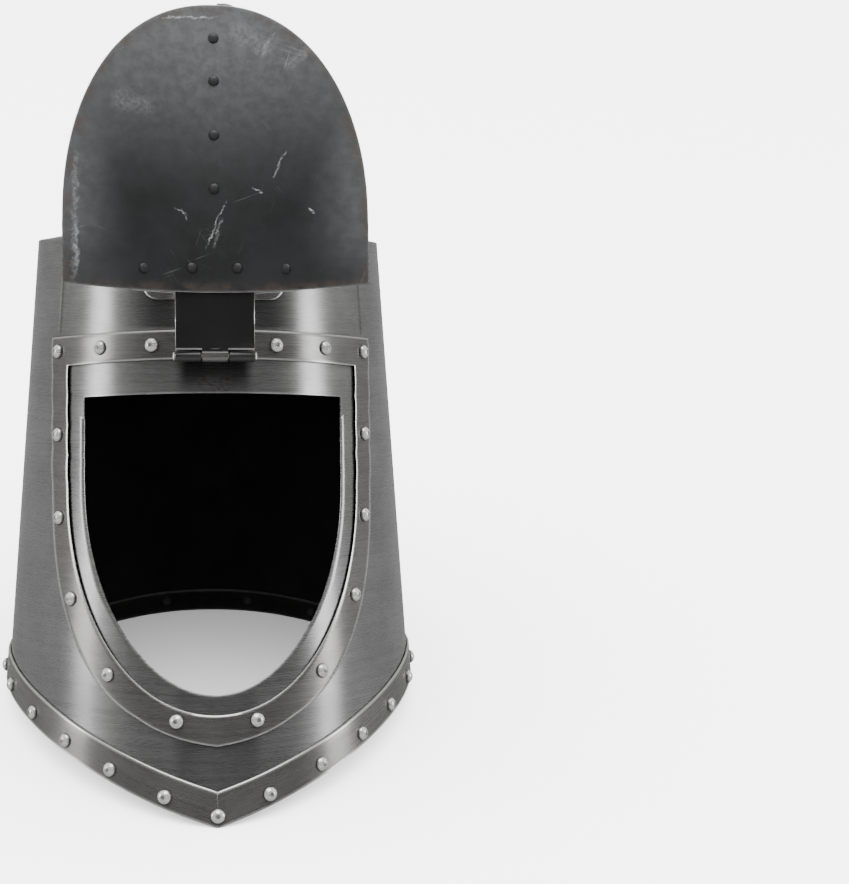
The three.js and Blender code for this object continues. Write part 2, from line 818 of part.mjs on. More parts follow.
function addRivets(group, name, places) {
  places.forEach((place, k) => {
    const body = solid(rivetShape(place.grip + 2 * gap));
    const mesh = new THREE.Mesh(surfaceOf(body), new THREE.MeshStandardMaterial(polished));
    mesh.name = `${name}_${String(k + 1).padStart(2, '0')}`;
    mesh.position.copy(place.point).addScaledVector(place.normal, gap);
    mesh.quaternion.copy(place.turn);
    if (group === visor) {
      mesh.position.sub(hingeAxis);
    }
    group.add(mesh);
  });
}

addPiece(helm, 'front_plate', frontPlate(), brushed);
addPiece(helm, 'back_plate', backPlate(), brushed);
addPiece(helm, 'top_cap', topCap(), brushed);
addPiece(helm, 'rim_band', rimBand(), trimmed);
addPiece(helm, 'face_frame', faceFrame(), trimmed);
addPiece(helm, 'hinge_plate', hingePlate(), trimmed);
addPiece(helm, 'hinge_pin', hingePin(), polished);
addRivets(helm, 'rim_rivet', rimPlaces);
addRivets(helm, 'frame_rivet', framePlaces);
addRivets(helm, 'brow_rivet', browPlaces);
addRivets(helm, 'hinge_plate_rivet', hingePlatePlaces);

addPiece(visor, 'visor_plate', visorPlate(), blackened);
addPiece(visor, 'visor_strap', visorStrap(), trimmed);
addPiece(visor, 'cross_bar', crossBar(), trimmed);
addPiece(visor, 'latch_hook', latchHook(), polished);
addRivets(visor, 'strap_rivet', strapPlaces);
addRivets(visor, 'cross_bar_rivet', crossPlaces);

visor.position.copy(hingeAxis);
visor.rotation.x = -openAngle;
helm.add(visor);

// The helm leans back on its tip and the back of its rim; the origin is under the middle of its box.
helm.rotation.x = -atan(restSlope);
const greatHelm = new THREE.Group();
greatHelm.add(helm);
greatHelm.updateMatrixWorld(true);
const box = new THREE.Box3().setFromObject(greatHelm, true);
helm.position.set(0, -(box.min.y + box.max.y) / 2, -box.min.z);

export default greatHelm;
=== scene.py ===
"""Looks of a riveted great helm with its visor turned up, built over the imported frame.

Metres. Shapes are worked out in the helm as it is worn: +Z up, the face towards -Y, the pointed tip of
the front at the origin. RestPose then leans them back on the rim, and opens what rides on the visor.
"""

import json
import logging
import math
from dataclasses import dataclass, field, replace
from enum import Enum
from typing import Callable, NamedTuple, Optional, Sequence

import bmesh
import bpy
import numpy as np
from mathutils import Matrix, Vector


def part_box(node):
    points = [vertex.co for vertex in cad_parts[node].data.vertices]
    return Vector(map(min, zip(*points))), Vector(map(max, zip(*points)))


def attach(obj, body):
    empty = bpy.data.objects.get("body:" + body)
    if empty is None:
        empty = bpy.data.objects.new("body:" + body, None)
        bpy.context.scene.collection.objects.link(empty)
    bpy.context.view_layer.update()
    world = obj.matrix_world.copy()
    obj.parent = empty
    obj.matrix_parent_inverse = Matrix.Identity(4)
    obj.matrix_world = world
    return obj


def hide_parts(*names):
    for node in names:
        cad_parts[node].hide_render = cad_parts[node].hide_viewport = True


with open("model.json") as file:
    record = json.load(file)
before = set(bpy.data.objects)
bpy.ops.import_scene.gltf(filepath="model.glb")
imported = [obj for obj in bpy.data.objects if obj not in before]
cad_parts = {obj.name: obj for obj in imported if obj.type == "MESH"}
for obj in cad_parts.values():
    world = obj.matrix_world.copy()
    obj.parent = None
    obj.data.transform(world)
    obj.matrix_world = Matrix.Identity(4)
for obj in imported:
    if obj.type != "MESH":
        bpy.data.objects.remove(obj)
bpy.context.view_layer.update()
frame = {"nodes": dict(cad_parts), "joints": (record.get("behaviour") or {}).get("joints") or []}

log = logging.getLogger("great_helm")
Array = np.ndarray
Placer = Callable[[Array, Array, Array], Array]
Socket = bpy.types.NodeSocket
Colour = tuple[float, float, float, float]
Span = tuple[float, float]
MM = 0.001
QUARTER = math.pi / 2
FLAT_MAP = "flat"
EDGE_ATTRIBUTE = "edge"
# A distance from the edge at which no edge wear shows.
NO_EDGE = 1.0


class Side(Enum):
    """Which face of a sheet a polygon belongs to."""

    OUTER = 0
    EDGE = 1
    INNER = 2


class Body(Enum):
    """The two moving bodies of the frame."""

    HELM = "helm"
    VISOR = "visor"


# Sizes
@dataclass(frozen=True)
class Fits:
    """Thicknesses and the clearance between pieces, and the layers that follow from them."""

    sheet: float = 1.2 * MM
    trim: float = 1.5 * MM
    gap: float = 0.3 * MM
    sheet_edge: float = 0.35 * MM
    trim_edge: float = 1.1 * MM

    @property
    def back_outer(self) -> float:
        """Outer face of the back plate, inside the front plate."""
        return -(self.sheet + self.gap)

    @property
    def trim_outer(self) -> float:
        """Outer face of a band or frame that lies on the wall."""
        return self.gap + self.trim

    @property
    def leaf_inner(self) -> float:
        """Inner face of the hinge leaf where it lies on the brow band."""
        return self.trim_outer + self.gap

    @property
    def visor_outer(self) -> float:
        """Outer face of the visor plate when it is shut."""
        return self.gap + self.sheet

    @property
    def strap_inner(self) -> float:
        """Inner face of the visor strap."""
        return self.visor_outer + self.gap

    @property
    def strap_outer(self) -> float:
        """Outer face of the visor strap."""
        return self.strap_inner + self.trim


FITS = Fits()


@dataclass(frozen=True)
class Wall:
    """The wall's outer face: a ruled surface, pointed in front and elliptic behind."""

    top_z: float = 338 * MM
    side_half_top: float = 106.5 * MM
    side_half_foot: float = 131.5 * MM
    front_top_y: float = 44 * MM
    front_foot_y: float = 2.4 * MM
    widest_y: float = 155 * MM
    back_reach: float = 114.8 * MM
    front_power: float = 1.7
    back_foot_z: float = 90 * MM
    rim_rise: float = 17 * MM
    rim_crest: float = math.radians(60)
    rim_flat: float = math.radians(150)
    round_radius: float = 125 * MM
    rim_rounds: int = 8

    @property
    def rest_slope(self) -> float:
        """Rise of the resting plane from the tip to the back of the rim."""
        return self.back_foot_z / (self.widest_y + self.back_reach)

    def side_half(self, z: Array) -> Array:
        """Half width of the wall at a height."""
        return self.side_half_foot + (self.side_half_top - self.side_half_foot) * z / self.top_z

    def front_depth(self, z: Array) -> Array:
        """Distance from the widest section forwards to the ridge of the front, at a height."""
        front_y = self.front_foot_y + (self.front_top_y - self.front_foot_y) * z / self.top_z
        return self.widest_y - front_y

    def point(self, angle: Array, z: Array, out: Array = 0.0) -> Array:
        """Points on the wall.

        In front, x and the distance from the widest section are the half width and the depth times the
        sine and the cosine of the angle, both to the power 2 / front_power. Behind, both powers are 1.

        Args:
            angle: Angle round the plan, from the front towards +X.
            z: Height.
            out: How far the layer lies outside the wall's outer face.

        Returns:
            Points, with the coordinates on the last axis.
        """
        across, along = np.sin(angle), np.cos(angle)
        power = 2 / self.front_power
        in_front = along > 0
        x_share = np.where(in_front, np.sign(across) * np.abs(across) ** power, across)
        front_y = self.widest_y - (self.front_depth(z) + out) * np.abs(along) ** power
        back_y = self.widest_y - (self.back_reach + out) * along
        x = (self.side_half(z) + out) * x_share
        y = np.where(in_front, front_y, back_y)
        return np.stack(np.broadcast_arrays(x, y, z + 0 * x), -1)

    def front_angle(self, x: Array, z: Array, out: Array = 0.0) -> Array:
        """The angle round the plan of a place on the front half."""
        share = np.clip(np.abs(x) / (self.side_half(z) + out), 0, 1)
        return np.sign(x) * np.arcsin(share ** (self.front_power / 2))

    def front_y(self, x: Array, z: Array, out: Array = 0.0) -> Array:
        """The y of a place on the front half."""
        return self.point(self.front_angle(x, z, out), z, out)[..., 1]

    def rim_z(self, angle: Array, y: Array) -> Array:
        """The lower edge: the resting plane, with an arch over each side.

        The plane rises with y at rest_slope. The arch is a sine up to its crest, then a squared cosine.

        Args:
            angle: Angle round the plan.
            y: Depth of the places.

        Returns:
            Heights of the edge.
        """
        turn = np.arccos(np.cos(angle))
        fore = np.sin(QUARTER * turn / self.rim_crest)
        share = np.clip((turn - self.rim_crest) / (self.rim_flat - self.rim_crest), 0, 1)
        aft = np.cos(QUARTER * share) ** 2
        return self.rest_slope * y + self.rim_rise * np.where(turn < self.rim_crest, fore, aft)

    def rim_point(self, angle: Array, out: Array, above: Array) -> Array:
        """Points at a distance above the lower edge, found by repeated substitution.

        Args:
            angle: Angle round the plan.
            out: How far the layer lies outside the wall.
            above: Distance above the edge.

        Returns:
            The points.
        """
        y = self.widest_y + 0 * angle
        for _ in range(self.rim_rounds):
            points = self.point(angle, self.rim_z(angle, y) + above, out)
            y = points[..., 1]
        return points

    def normal(self, angle: float, z: float) -> Array:
        """The outward unit normal at one place.

        Args:
            angle: Angle round the plan.
            z: Height.

        Returns:
            The cross product of the wall's two directions.
        """
        step = 0.01
        around = self.point(angle + step, z) - self.point(angle - step, z)
        upward = self.point(angle, z + MM) - self.point(angle, z - MM)
        found = np.cross(around, upward)
        return found / np.linalg.norm(found)

    def angle_of(self, point: Array) -> float:
        """The angle round the plan of a point near the wall.

        Args:
            point: The point.

        Returns:
            The angle, negative at -X.
        """
        share = min(abs(point[0]) / self.side_half(point[2]), 1.0)
        if point[1] < self.widest_y:
            turn = math.asin(share ** (self.front_power / 2))
        else:
            turn = math.pi - math.asin(share)
        return math.copysign(turn, point[0])


WALL = Wall()


@dataclass(frozen=True)
class Face:
    """Heights and half widths of the brow, the frame, the opening and the visor."""

    brow_foot_z: float = 260.4 * MM
    brow_height: float = 16.8 * MM
    brow_arch: float = 5 * MM
    curve_z: float = 190 * MM
    frame_inner_half: float = 85.5 * MM
    frame_outer_half: float = 95.8 * MM
    frame_inner_foot_z: float = 63 * MM
    frame_outer_foot_z: float = 51.5 * MM
    frame_inner_power: float = 2.15
    frame_outer_power: float = 2.6
    frame_point: float = 6 * MM
    frame_point_half: float = 45 * MM
    opening_half: float = 76 * MM
    opening_foot_z: float = 74 * MM
    opening_top_z: float = 242 * MM
    opening_arch: float = 3.5 * MM
    opening_power: float = 2
    visor_play: float = 2 * MM
    slit_height: float = 16.5 * MM
    visor_arch: float = 5 * MM

    @property
    def brow_top_z(self) -> float:
        """Upper edge of the brow band in the middle."""
        return self.brow_foot_z + self.brow_height + self.brow_arch

    @property
    def visor_top_z(self) -> float:
        """Ends of the visor plate's upper edge."""
        return self.opening_top_z - self.slit_height


FACE = Face()


@dataclass(frozen=True)
class Fittings:
    """Sizes of the hinge, the strap, the cross bar and the latch hook."""

    hinge_over_brow: float = 1.4 * MM
    knuckle_radius: float = 3.3 * MM
    knuckle_length: float = 15 * MM
    knuckle_bite: float = 1 * MM
    knuckle_play: float = 0.4 * MM
    pin_radius: float = 1.4 * MM
    pin_head_radius: float = 2.4 * MM
    ear_half: float = 41.5 * MM
    ear_height: float = 24.5 * MM
    ear_drop: float = 14 * MM
    ear_radius: float = 9 * MM
    hinge_follow: float = 0.35
    strap_half: float = 22.6 * MM
    strap_follow: float = 0.9
    strap_foot_rise: float = 4.5 * MM
    strap_rivet_share: float = 0.7
    cross_half: float = 52 * MM
    cross_height: float = 29 * MM
    cross_arch: float = 2 * MM
    cross_radius: float = 8 * MM
    cross_top_rise: float = 1 * MM
    cross_level: float = 4.5 * MM
    cross_blend: float = 11 * MM
    hook_radius: float = 0.9 * MM

    @property
    def hinge_z(self) -> float:
        """Height of the hinge axis."""
        return FACE.brow_foot_z + FACE.brow_arch + self.hinge_over_brow

    @property
    def hinge_y(self) -> float:
        """Depth of the hinge axis."""
        out = FITS.strap_outer + self.knuckle_radius - self.knuckle_bite
        return float(WALL.front_y(np.array(0.0), np.array(self.hinge_z), out))

    @property
    def knuckle_pitch(self) -> float:
        """Distance between the middles of neighbouring knuckles."""
        return self.knuckle_length + self.knuckle_play

    @property
    def ear_top_z(self) -> float:
        """Upper edge of the hinge plate's ears."""
        return WALL.top_z - self.ear_drop

    @property
    def ear_foot_z(self) -> float:
        """Lower edge of the hinge plate's ears."""
        return self.ear_top_z - self.ear_height

    @property
    def cross_top_z(self) -> float:
        """Upper edge of the cross bar in the middle."""
        return FACE.visor_top_z + FACE.visor_arch + self.cross_top_rise

    @property
    def cross_foot_z(self) -> float:
        """Lower edge of the cross bar."""
        return self.cross_top_z - self.cross_height

    @property
    def strap_foot_z(self) -> float:
        """Lower end of the strap."""
        return FACE.frame_inner_foot_z + FACE.visor_play + self.strap_foot_rise

    @property
    def shoulder_z(self) -> float:
        """Upper edge of the strap on both sides of its knuckle."""
        return self.hinge_z - self.knuckle_radius - self.knuckle_play


FITTINGS = Fittings()


def turned_about_x(points: Array, turn: float) -> Array:
    """Points turned about the X axis.

    Args:
        points: The points.
        turn: The angle.

    Returns:
        The turned points.
    """
    cos, sin = math.cos(turn), math.sin(turn)
    x, y, z = points[..., 0], points[..., 1], points[..., 2]
    return np.stack([x, y * cos - z * sin, y * sin + z * cos], -1)


class RestPose:
    """Carries worn points into the row frame, with the visor open."""

    def __init__(self) -> None:
        """Works out the lean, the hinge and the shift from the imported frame."""
        joint = frame["joints"][0]
        self.lean = math.atan(WALL.rest_slope)
        self.hinge = np.array(joint["pos_m"], float)
        self.open_turn = -math.radians(joint["range_deg"][1])
        tip = turned_about_x(WALL.rim_point(np.array(0.0), FITS.trim_outer, 0.0), -self.lean)
        self.shift = np.array([0.0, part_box("rim_band")[0].y - tip[1], 0.0])

    def place(self, points: Array, body: Body) -> Array:
        """Worn points in the row frame.

        Args:
            points: Points of the worn helm with its visor shut.
            body: The body that they belong to.

        Returns:
            The same points at rest.
        """
        placed = turned_about_x(points, -self.lean) + self.shift
        if body is Body.VISOR:
            placed = turned_about_x(placed - self.hinge, self.open_turn) + self.hinge
        return placed

    def worn(self, point: Array, body: Body) -> Array:
        """The worn place of one point of the row frame.

        Args:
            point: The point at rest.
            body: The body that it belongs to.

        Returns:
            Its place on the worn helm.
        """
        at = np.array(point, float)
        if body is Body.VISOR:
            at = turned_about_x(at - self.hinge, -self.open_turn) + self.hinge
        return turned_about_x(at - self.shift, self.lean)


REST = RestPose()


# Surfaces
@dataclass
class Surface:
    """A mesh in arrays: points, the place of each point on the flat sheet, and polygons.

    Attributes:
        points: Worn points, one row each.
        flat: Place on the flat sheet, in metres, one row each.
        edge: Distance from the sheet's edge.
        faces: Four point numbers a row.
        sides: The Side value of each polygon.
    """

    points: Array
    flat: Array
    edge: Array
    faces: Array
    sides: Array

    @staticmethod
    def joined(surfaces: Sequence["Surface"]) -> "Surface":
        """One surface of several that do not share points.

        Args:
            surfaces: The surfaces.

        Returns:
            All of them in one.
        """
        starts = np.cumsum([0] + [len(s.points) for s in surfaces[:-1]])
        faces = np.concatenate([s.faces + start for s, start in zip(surfaces, starts)])
        columns = ("points", "flat", "edge", "sides")
        points, flat, edge, sides = (
            np.concatenate([getattr(s, column) for s in surfaces]) for column in columns
        )
        return Surface(points, flat, edge, faces, sides)


def lattice(
    points: Array, flat: Array, edge: Array, sides: Array, wrap_rows: bool, wrap_section: bool
) -> Surface:
    """Quads over a grid of points.

    Args:
        points: Grid of points: rows along the plate, then the section across it.
        flat: Grid of flat places.
        edge: Grid of distances from the edge.
        sides: Side value of each step of the section.
        wrap_rows: Whether the last row meets the first.
        wrap_section: Whether the section is a closed loop.

    Returns:
        The grid as a surface.
    """
    rows, columns = points.shape[:2]
    i = np.arange(rows if wrap_rows else rows - 1)[:, None]
    j = np.arange(columns if wrap_section else columns - 1)[None, :]
    below, above = i * columns, ((i + 1) % rows) * columns
    left, right = j, (j + 1) % columns
    faces = np.stack([below + left, above + left, above + right, below + right], -1).reshape(-1, 4)
    face_sides = np.broadcast_to(sides[: j.shape[1]], (len(i), j.shape[1])).ravel()
    return Surface(points.reshape(-1, 3), flat.reshape(-1, 2), edge.ravel(), faces, face_sides)


class Section:
    """A section across a sheet, from edge to edge on its outer face and back on its inner face.

    A place on it is share * L + inset * r, where L is the width there and r the edge's radius.
    """

    def __init__(self, steps: int, edge_steps: int = 4, open_middle: bool = True) -> None:
        """Lays out the section.

        Args:
            steps: Steps across each face.
            edge_steps: Steps round each edge.
            open_middle: True for a ring, which has an edge on both sides. False for a disc, whose
                section starts at its middle.
        """
        way = np.linspace(0, 1, steps + 1)
        turn = np.linspace(0, math.pi, edge_steps + 1)[1:-1]
        first = 1.0 if open_middle else 0.0
        outer = (way, first * (1 - way) - way, 0 * way)
        rounded = (1 + 0 * turn, np.sin(turn) - 1, (1 - np.cos(turn)) / 2)
        inner = (way[::-1], (first * (1 - way) - way)[::-1], 1 + 0 * way)
        parts = [outer, rounded, inner]
        if open_middle:
            parts.append((0 * turn, 1 - np.sin(turn), (1 + np.cos(turn)) / 2))
        self.share, self.inset, self.depth = (np.concatenate(column) for column in zip(*parts))
        self.closed = open_middle
        middle = (self.depth + np.roll(self.depth, -1)) / 2
        self.sides = np.where(middle == 0, Side.OUTER.value, Side.EDGE.value)
        self.sides = np.where(middle == 1, Side.INNER.value, self.sides)


def plate(inner: Array, outer: Array, section: Section, place: Placer, radius: float) -> Surface:
    """A sheet between two closed outlines with matching points, or round a middle point.

    Args:
        inner: Points of the inner outline, or the middle point repeated.
        outer: Points of the outer outline.
        section: The section across the sheet.
        place: Gives worn points from the two flat coordinates and the depth share.
        radius: Depth of the rounding at the edges.

    Returns:
        The sheet's surface.
    """
    across = outer - inner
    width = np.linalg.norm(across, axis=-1, keepdims=True)
    along = section.share * width + section.inset * radius
    flat = inner[:, None] + (across / width)[:, None] * along[..., None]
    depth = np.broadcast_to(section.depth, along.shape)
    points = place(flat[..., 0], flat[..., 1], depth)
    edge = width - along
    if section.closed:
        edge = np.minimum(edge, along)
    return lattice(points, flat, edge, section.sides, True, section.closed)


class Steps(NamedTuple):
    """How finely a sheet is divided: rays round its outline, and steps across it."""

    rays: int
    across: int


class Outline:
    """A closed outline that every ray from its middle meets once."""

    def __init__(self, points: Array, middle: Span, corners: Sequence[Span] = ()) -> None:
        """Holds the outline as its directions and distances from the middle.

        Args:
            points: Its points, in any order.
            middle: Its middle.
            corners: Points that a ray has to meet.
        """
        self.middle = np.array(middle)
        arms = np.asarray(points) - self.middle
        self.turns = np.arctan2(arms[:, 1], arms[:, 0])
        self.radii = np.hypot(arms[:, 0], arms[:, 1])
        order = np.argsort(self.turns, kind="stable")
        self.turns, self.radii = self.turns[order], self.radii[order]
        self.corner_turns = [math.atan2(v - middle[1], u - middle[0]) for u, v in corners]

    def at(self, turns: Array) -> Array:
        """The outline's points on rays in the given directions."""
        radii = np.interp(turns, self.turns, self.radii, period=2 * math.pi)
        return self.middle + np.stack([np.cos(turns), np.sin(turns)], -1) * radii[:, None]


def shared_turns(count: int, *outlines: Outline) -> Array:
    """Even ray directions, with those of the outlines' corners added.

    Args:
        count: How many even ones.
        outlines: The outlines.

    Returns:
        The directions in order.
    """
    even = np.linspace(-math.pi, math.pi, count, endpoint=False)
    corners = [turn for outline in outlines for turn in outline.corner_turns]
    return np.unique(np.round(np.concatenate([even, corners]), decimals=6))


def ring_plate(
    hole: Outline, outer: Outline, place: Placer, steps: Steps, radius: float = FITS.sheet_edge
) -> Surface:
    """A sheet between two outlines with the same middle.

    Args:
        hole: The inner outline.
        outer: The outer outline.
        place: Places the sheet.
        steps: How finely it is divided.
        radius: Depth of the rounding at its edges.

    Returns:
        Its surface.
    """
    turns = shared_turns(steps.rays, hole, outer)
    return plate(hole.at(turns), outer.at(turns), Section(steps.across), place, radius)


def disc_plate(
    outline: Outline, place: Placer, steps: Steps, radius: float = FITS.sheet_edge
) -> Surface:
    """A sheet that fills an outline.

    Args:
        outline: The outline.
        place: Places the sheet.
        steps: How finely it is divided.
        radius: Depth of the rounding at its edge.

    Returns:
        Its surface.
    """
    turns = shared_turns(steps.rays, outline)
    rim = outline.at(turns)
    middle = np.broadcast_to(outline.middle, rim.shape)
    return plate(middle, rim, Section(steps.across, open_middle=False), place, radius)


def full_turn(steps: int) -> Array:
    """Even angles round a full turn, as a column."""
    return np.linspace(0, 2 * math.pi, steps, endpoint=False)[:, None]


def revolved(profile: Array, sides: int, tail_from: Optional[int] = None) -> Surface:
    """A turned solid about Z.

    Args:
        profile: Rows of radius and height.
        sides: Steps round the axis.
        tail_from: The first step of the profile that counts as the inner side.

    Returns:
        The solid's surface, in its own axes.
    """
    turns = full_turn(sides)
    radius, height = profile[:, 0], profile[:, 1]
    points = np.stack(np.broadcast_arrays(np.cos(turns) * radius, np.sin(turns) * radius, height), -1)
    flat = points[..., :2].copy()
    side_steps = np.full(len(profile), Side.OUTER.value)
    if tail_from is not None:
        side_steps[tail_from:] = Side.INNER.value
    edge = np.broadcast_to(radius, points.shape[:2]).copy()
    return lattice(points, flat, edge, side_steps, True, False)


def turned_to(surface: Surface, origin: Array, axis: Array) -> Surface:
    """A turned solid set at a place, with its own +Z along an axis.

    Args:
        surface: The solid.
        origin: The place of its origin.
        axis: The axis.

    Returns:
        The placed solid.
    """
    steep = 0.9
    w = axis / np.linalg.norm(axis)
    u = np.cross([0.0, 0.0, 1.0] if abs(w[2]) < steep else [1.0, 0.0, 0.0], w)
    u /= np.linalg.norm(u)
    basis = np.stack([u, np.cross(w, u), w])
    return replace(surface, points=surface.points @ basis + origin)


# Outlines
def mirrored(right: Array) -> Array:
    """A closed outline from its right half, given from the foot's middle to the top's."""
    left = right[::-1] * np.array([-1.0, 1.0])
    return np.concatenate([right, left])


def both_sides(right: Sequence[Span]) -> list[Span]:
    """The mirror images of some points, and the points."""
    return [(side * x, z) for side in (-1, 1) for x, z in right]


def lower_curve(half: float, foot_z: float, power: float, steps: int = 400) -> Array:
    """The rounded lower part of an outline, from the middle of the foot to the side.

    A quarter of a superellipse: across and down go with the cosine and the sine to 2 / power.

    Args:
        half: Half of its width.
        foot_z: Height of its foot.
        power: How square it is.
        steps: How many points.

    Returns:
        The points.
    """
    turn = np.linspace(QUARTER, 0, steps)
    across = half * np.cos(turn) ** (2 / power)
    down = (FACE.curve_z - foot_z) * np.sin(turn) ** (2 / power)
    return np.stack([across, FACE.curve_z - down], -1)


def upper_arch(half: float, end_z: float, rise: float, steps: int = 400) -> Array:
    """An arched upper edge, from its end to the middle.

    Args:
        half: Half of its width.
        end_z: Height of its ends.
        rise: Rise to the middle.
        steps: How many points.

    Returns:
        The points of a parabola.
    """
    x = np.linspace(half, 0, steps)
    return np.stack([x, end_z + rise * (1 - (x / half) ** 2)], -1)


def filled(points: Array, steps: int = 60) -> Array:
    """Points along straight lines between the given ones, so that rays meet the outline truly.

    Args:
        points: Corners of a closed outline.
        steps: Points on each line.

    Returns:
        The points.
    """
    way = np.linspace(0, 1, steps, endpoint=False)[:, None]
    after = np.roll(points, -1, axis=0)
    return (points[:, None] + (after - points)[:, None] * way).reshape(-1, 2)


def fillet_path(corners: Sequence[Span], radius: float, steps: int = 4) -> Array:
    """An open path through corners, finely divided, with its inner corners rounded.

    Args:
        corners: The corners.
        radius: How far a bend begins from its corner.
        steps: Points on each straight part and bend.

    Returns:
        The path. Each bend is a parabola.
    """
    given = np.array(corners, float)
    pieces = [given[:1]]
    for before, at, after in zip(given[:-2], given[1:-1], given[2:]):
        towards, onwards = before - at, after - at
        towards *= radius / np.linalg.norm(towards)
        onwards *= radius / np.linalg.norm(onwards)
        straight = np.linspace(pieces[-1][-1], at + towards, steps + 1)[1:]
        t = np.linspace(0, 1, steps + 1)[1:, None]
        bend = at + towards * (1 - t) ** 2 + onwards * t**2
        pieces += [straight, bend]
    pieces.append(np.linspace(pieces[-1][-1], given[-1], steps + 1)[1:])
    return np.concatenate(pieces)


def arc(centre: Span, radius: float, start: float, end: float, steps: int = 24) -> Array:
    """Points of a rounded corner."""
    turn = np.linspace(start, end, steps)
    return np.stack([centre[0] + radius * np.cos(turn), centre[1] + radius * np.sin(turn)], -1)


def rounded_end(x: float, low: float, high: float, radius: float) -> Array:
    """The right end of a bar, with a rounded corner about each of two centres at x."""
    lower = arc((x, low), radius, -QUARTER, 0)
    return np.concatenate([lower, arc((x, high), radius, 0, QUARTER)])


def shield(
    half: float, foot_z: float, power: float, end_z: float, rise: float, point: float = 0.0
) -> Outline:
    """An outline with a rounded foot, straight sides and an arched top.

    Args:
        half: Half of its width.
        foot_z: Height of its foot.
        power: How square the rounded foot is.
        end_z: Height of the ends of its upper edge.
        rise: Rise of the upper edge to the middle.
        point: Drop of a pointed foot.

    Returns:
        The outline about the middle of the face.
    """
    foot = lower_curve(half, foot_z, power)
    foot[:, 1] -= point * np.maximum(1 - foot[:, 0] / FACE.frame_point_half, 0)
    outline = mirrored(np.concatenate([foot, upper_arch(half, end_z, rise)]))
    corners = [*both_sides([(half, end_z)]), (0.0, foot_z)]
    return Outline(filled(outline, steps=4), (0.0, 0.5 * (foot_z + end_z)), corners)


def centred(outline: Outline, middle: Array) -> Outline:
    """The same outline about another middle.

    Args:
        outline: The outline.
        middle: Its new middle.

    Returns:
        The outline about it.
    """
    arms = np.stack([np.cos(outline.turns), np.sin(outline.turns)], -1) * outline.radii[:, None]
    corners = outline.at(np.array(outline.corner_turns)) if outline.corner_turns else []
    return Outline(outline.middle + arms, tuple(middle), [tuple(c) for c in corners])


# Skins
def eased(start: float, end: float, share: Array) -> Array:
    """A smooth step between two values.

    Args:
        start: The first value.
        end: The last value.
        share: How far it has come, from 0 to 1.

    Returns:
        The value: three times the share squared, less twice its cube, of the way.
    """
    t = np.clip(share, 0, 1)
    return start + (end - start) * t * t * (3 - 2 * t)


def flattened(x: Array, z: Array, out: Array, follow: Array) -> Array:
    """The y of a skin that keeps the share `follow` of the wall's curve."""
    middle = WALL.front_y(0 * x, z, out)
    return middle + follow * (WALL.front_y(x, z, out) - middle)


def strap_follow(z: Array) -> Array:
    """The strap lies on the visor plate and flattens towards the hinge."""
    share = (z - FITTINGS.cross_top_z) / (FITTINGS.hinge_z - FITTINGS.cross_top_z)
    return eased(FITTINGS.strap_follow, FITTINGS.hinge_follow, share)


def on_front(outer: float, thick: float) -> Placer:
    """Places a sheet that follows the front of the wall, with its outer face on a layer.

    Args:
        outer: The layer.
        thick: The sheet's thickness.

    Returns:
        The function that places it.
    """

    def place(x: Array, z: Array, depth: Array) -> Array:
        """The wall at x and z, moved in by the depth."""
        return np.stack([x, WALL.front_y(x, z, outer - thick * depth), z], -1)

    return place


def on_wall(outer: float, thick: float, start: float = 0.0) -> Placer:
    """Places a sheet round the wall. Its first flat coordinate is a length round the plan.

    Args:
        outer: The layer of its outer face.
        thick: The sheet's thickness.
        start: Angle round the plan of length 0.

    Returns:
        The function that places it.
    """

    def place(around: Array, z: Array, depth: Array) -> Array:
        """The wall at a length round it and z, moved in by the depth."""
        return WALL.point(start + around / WALL.round_radius, z, outer - thick * depth)

    return place


def strap_place(x: Array, z: Array, depth: Array) -> Array:
    """Places the visor strap."""
    out = FITS.strap_outer - FITS.trim * depth
    return np.stack([x, flattened(x, z, out, strap_follow(z)), z], -1)


def cross_place(x: Array, z: Array, depth: Array) -> Array:
    """Places the cross bar: level over the strap, then down to the visor plate on both sides."""
    share = (np.abs(x) - FITTINGS.strap_half - FITTINGS.cross_level) / FITTINGS.cross_blend
    out = eased(FITS.strap_outer + FITS.gap, FITS.strap_inner, share) + FITS.trim * (1 - depth)
    return np.stack([x, flattened(x, z, out, eased(strap_follow(z), 1.0, share)), z], -1)


def leaf_place(x: Array, z: Array, depth: Array) -> Array:
    """Places the hinge plate: flat on the brow band, then back to the wall at its ears."""
    start = FACE.brow_top_z + FITS.gap
    share = (z - start) / (FITTINGS.ear_foot_z - start)
    out = eased(FITS.leaf_inner, FITS.gap, share) + FITS.trim * (1 - depth)
    return np.stack([x, flattened(x, z, out, eased(FITTINGS.hinge_follow, 1.0, share)), z], -1)


# Finishes
@dataclass(frozen=True)
class Grain:
    """Settings of a noise.

    Attributes:
        scale: How many of its patches lie in one unit of the coordinate.
        detail: How many finer noises it adds.
        rough: How strong they are.
    """

    scale: float = 1.0
    detail: float = 2.0
    rough: float = 0.5


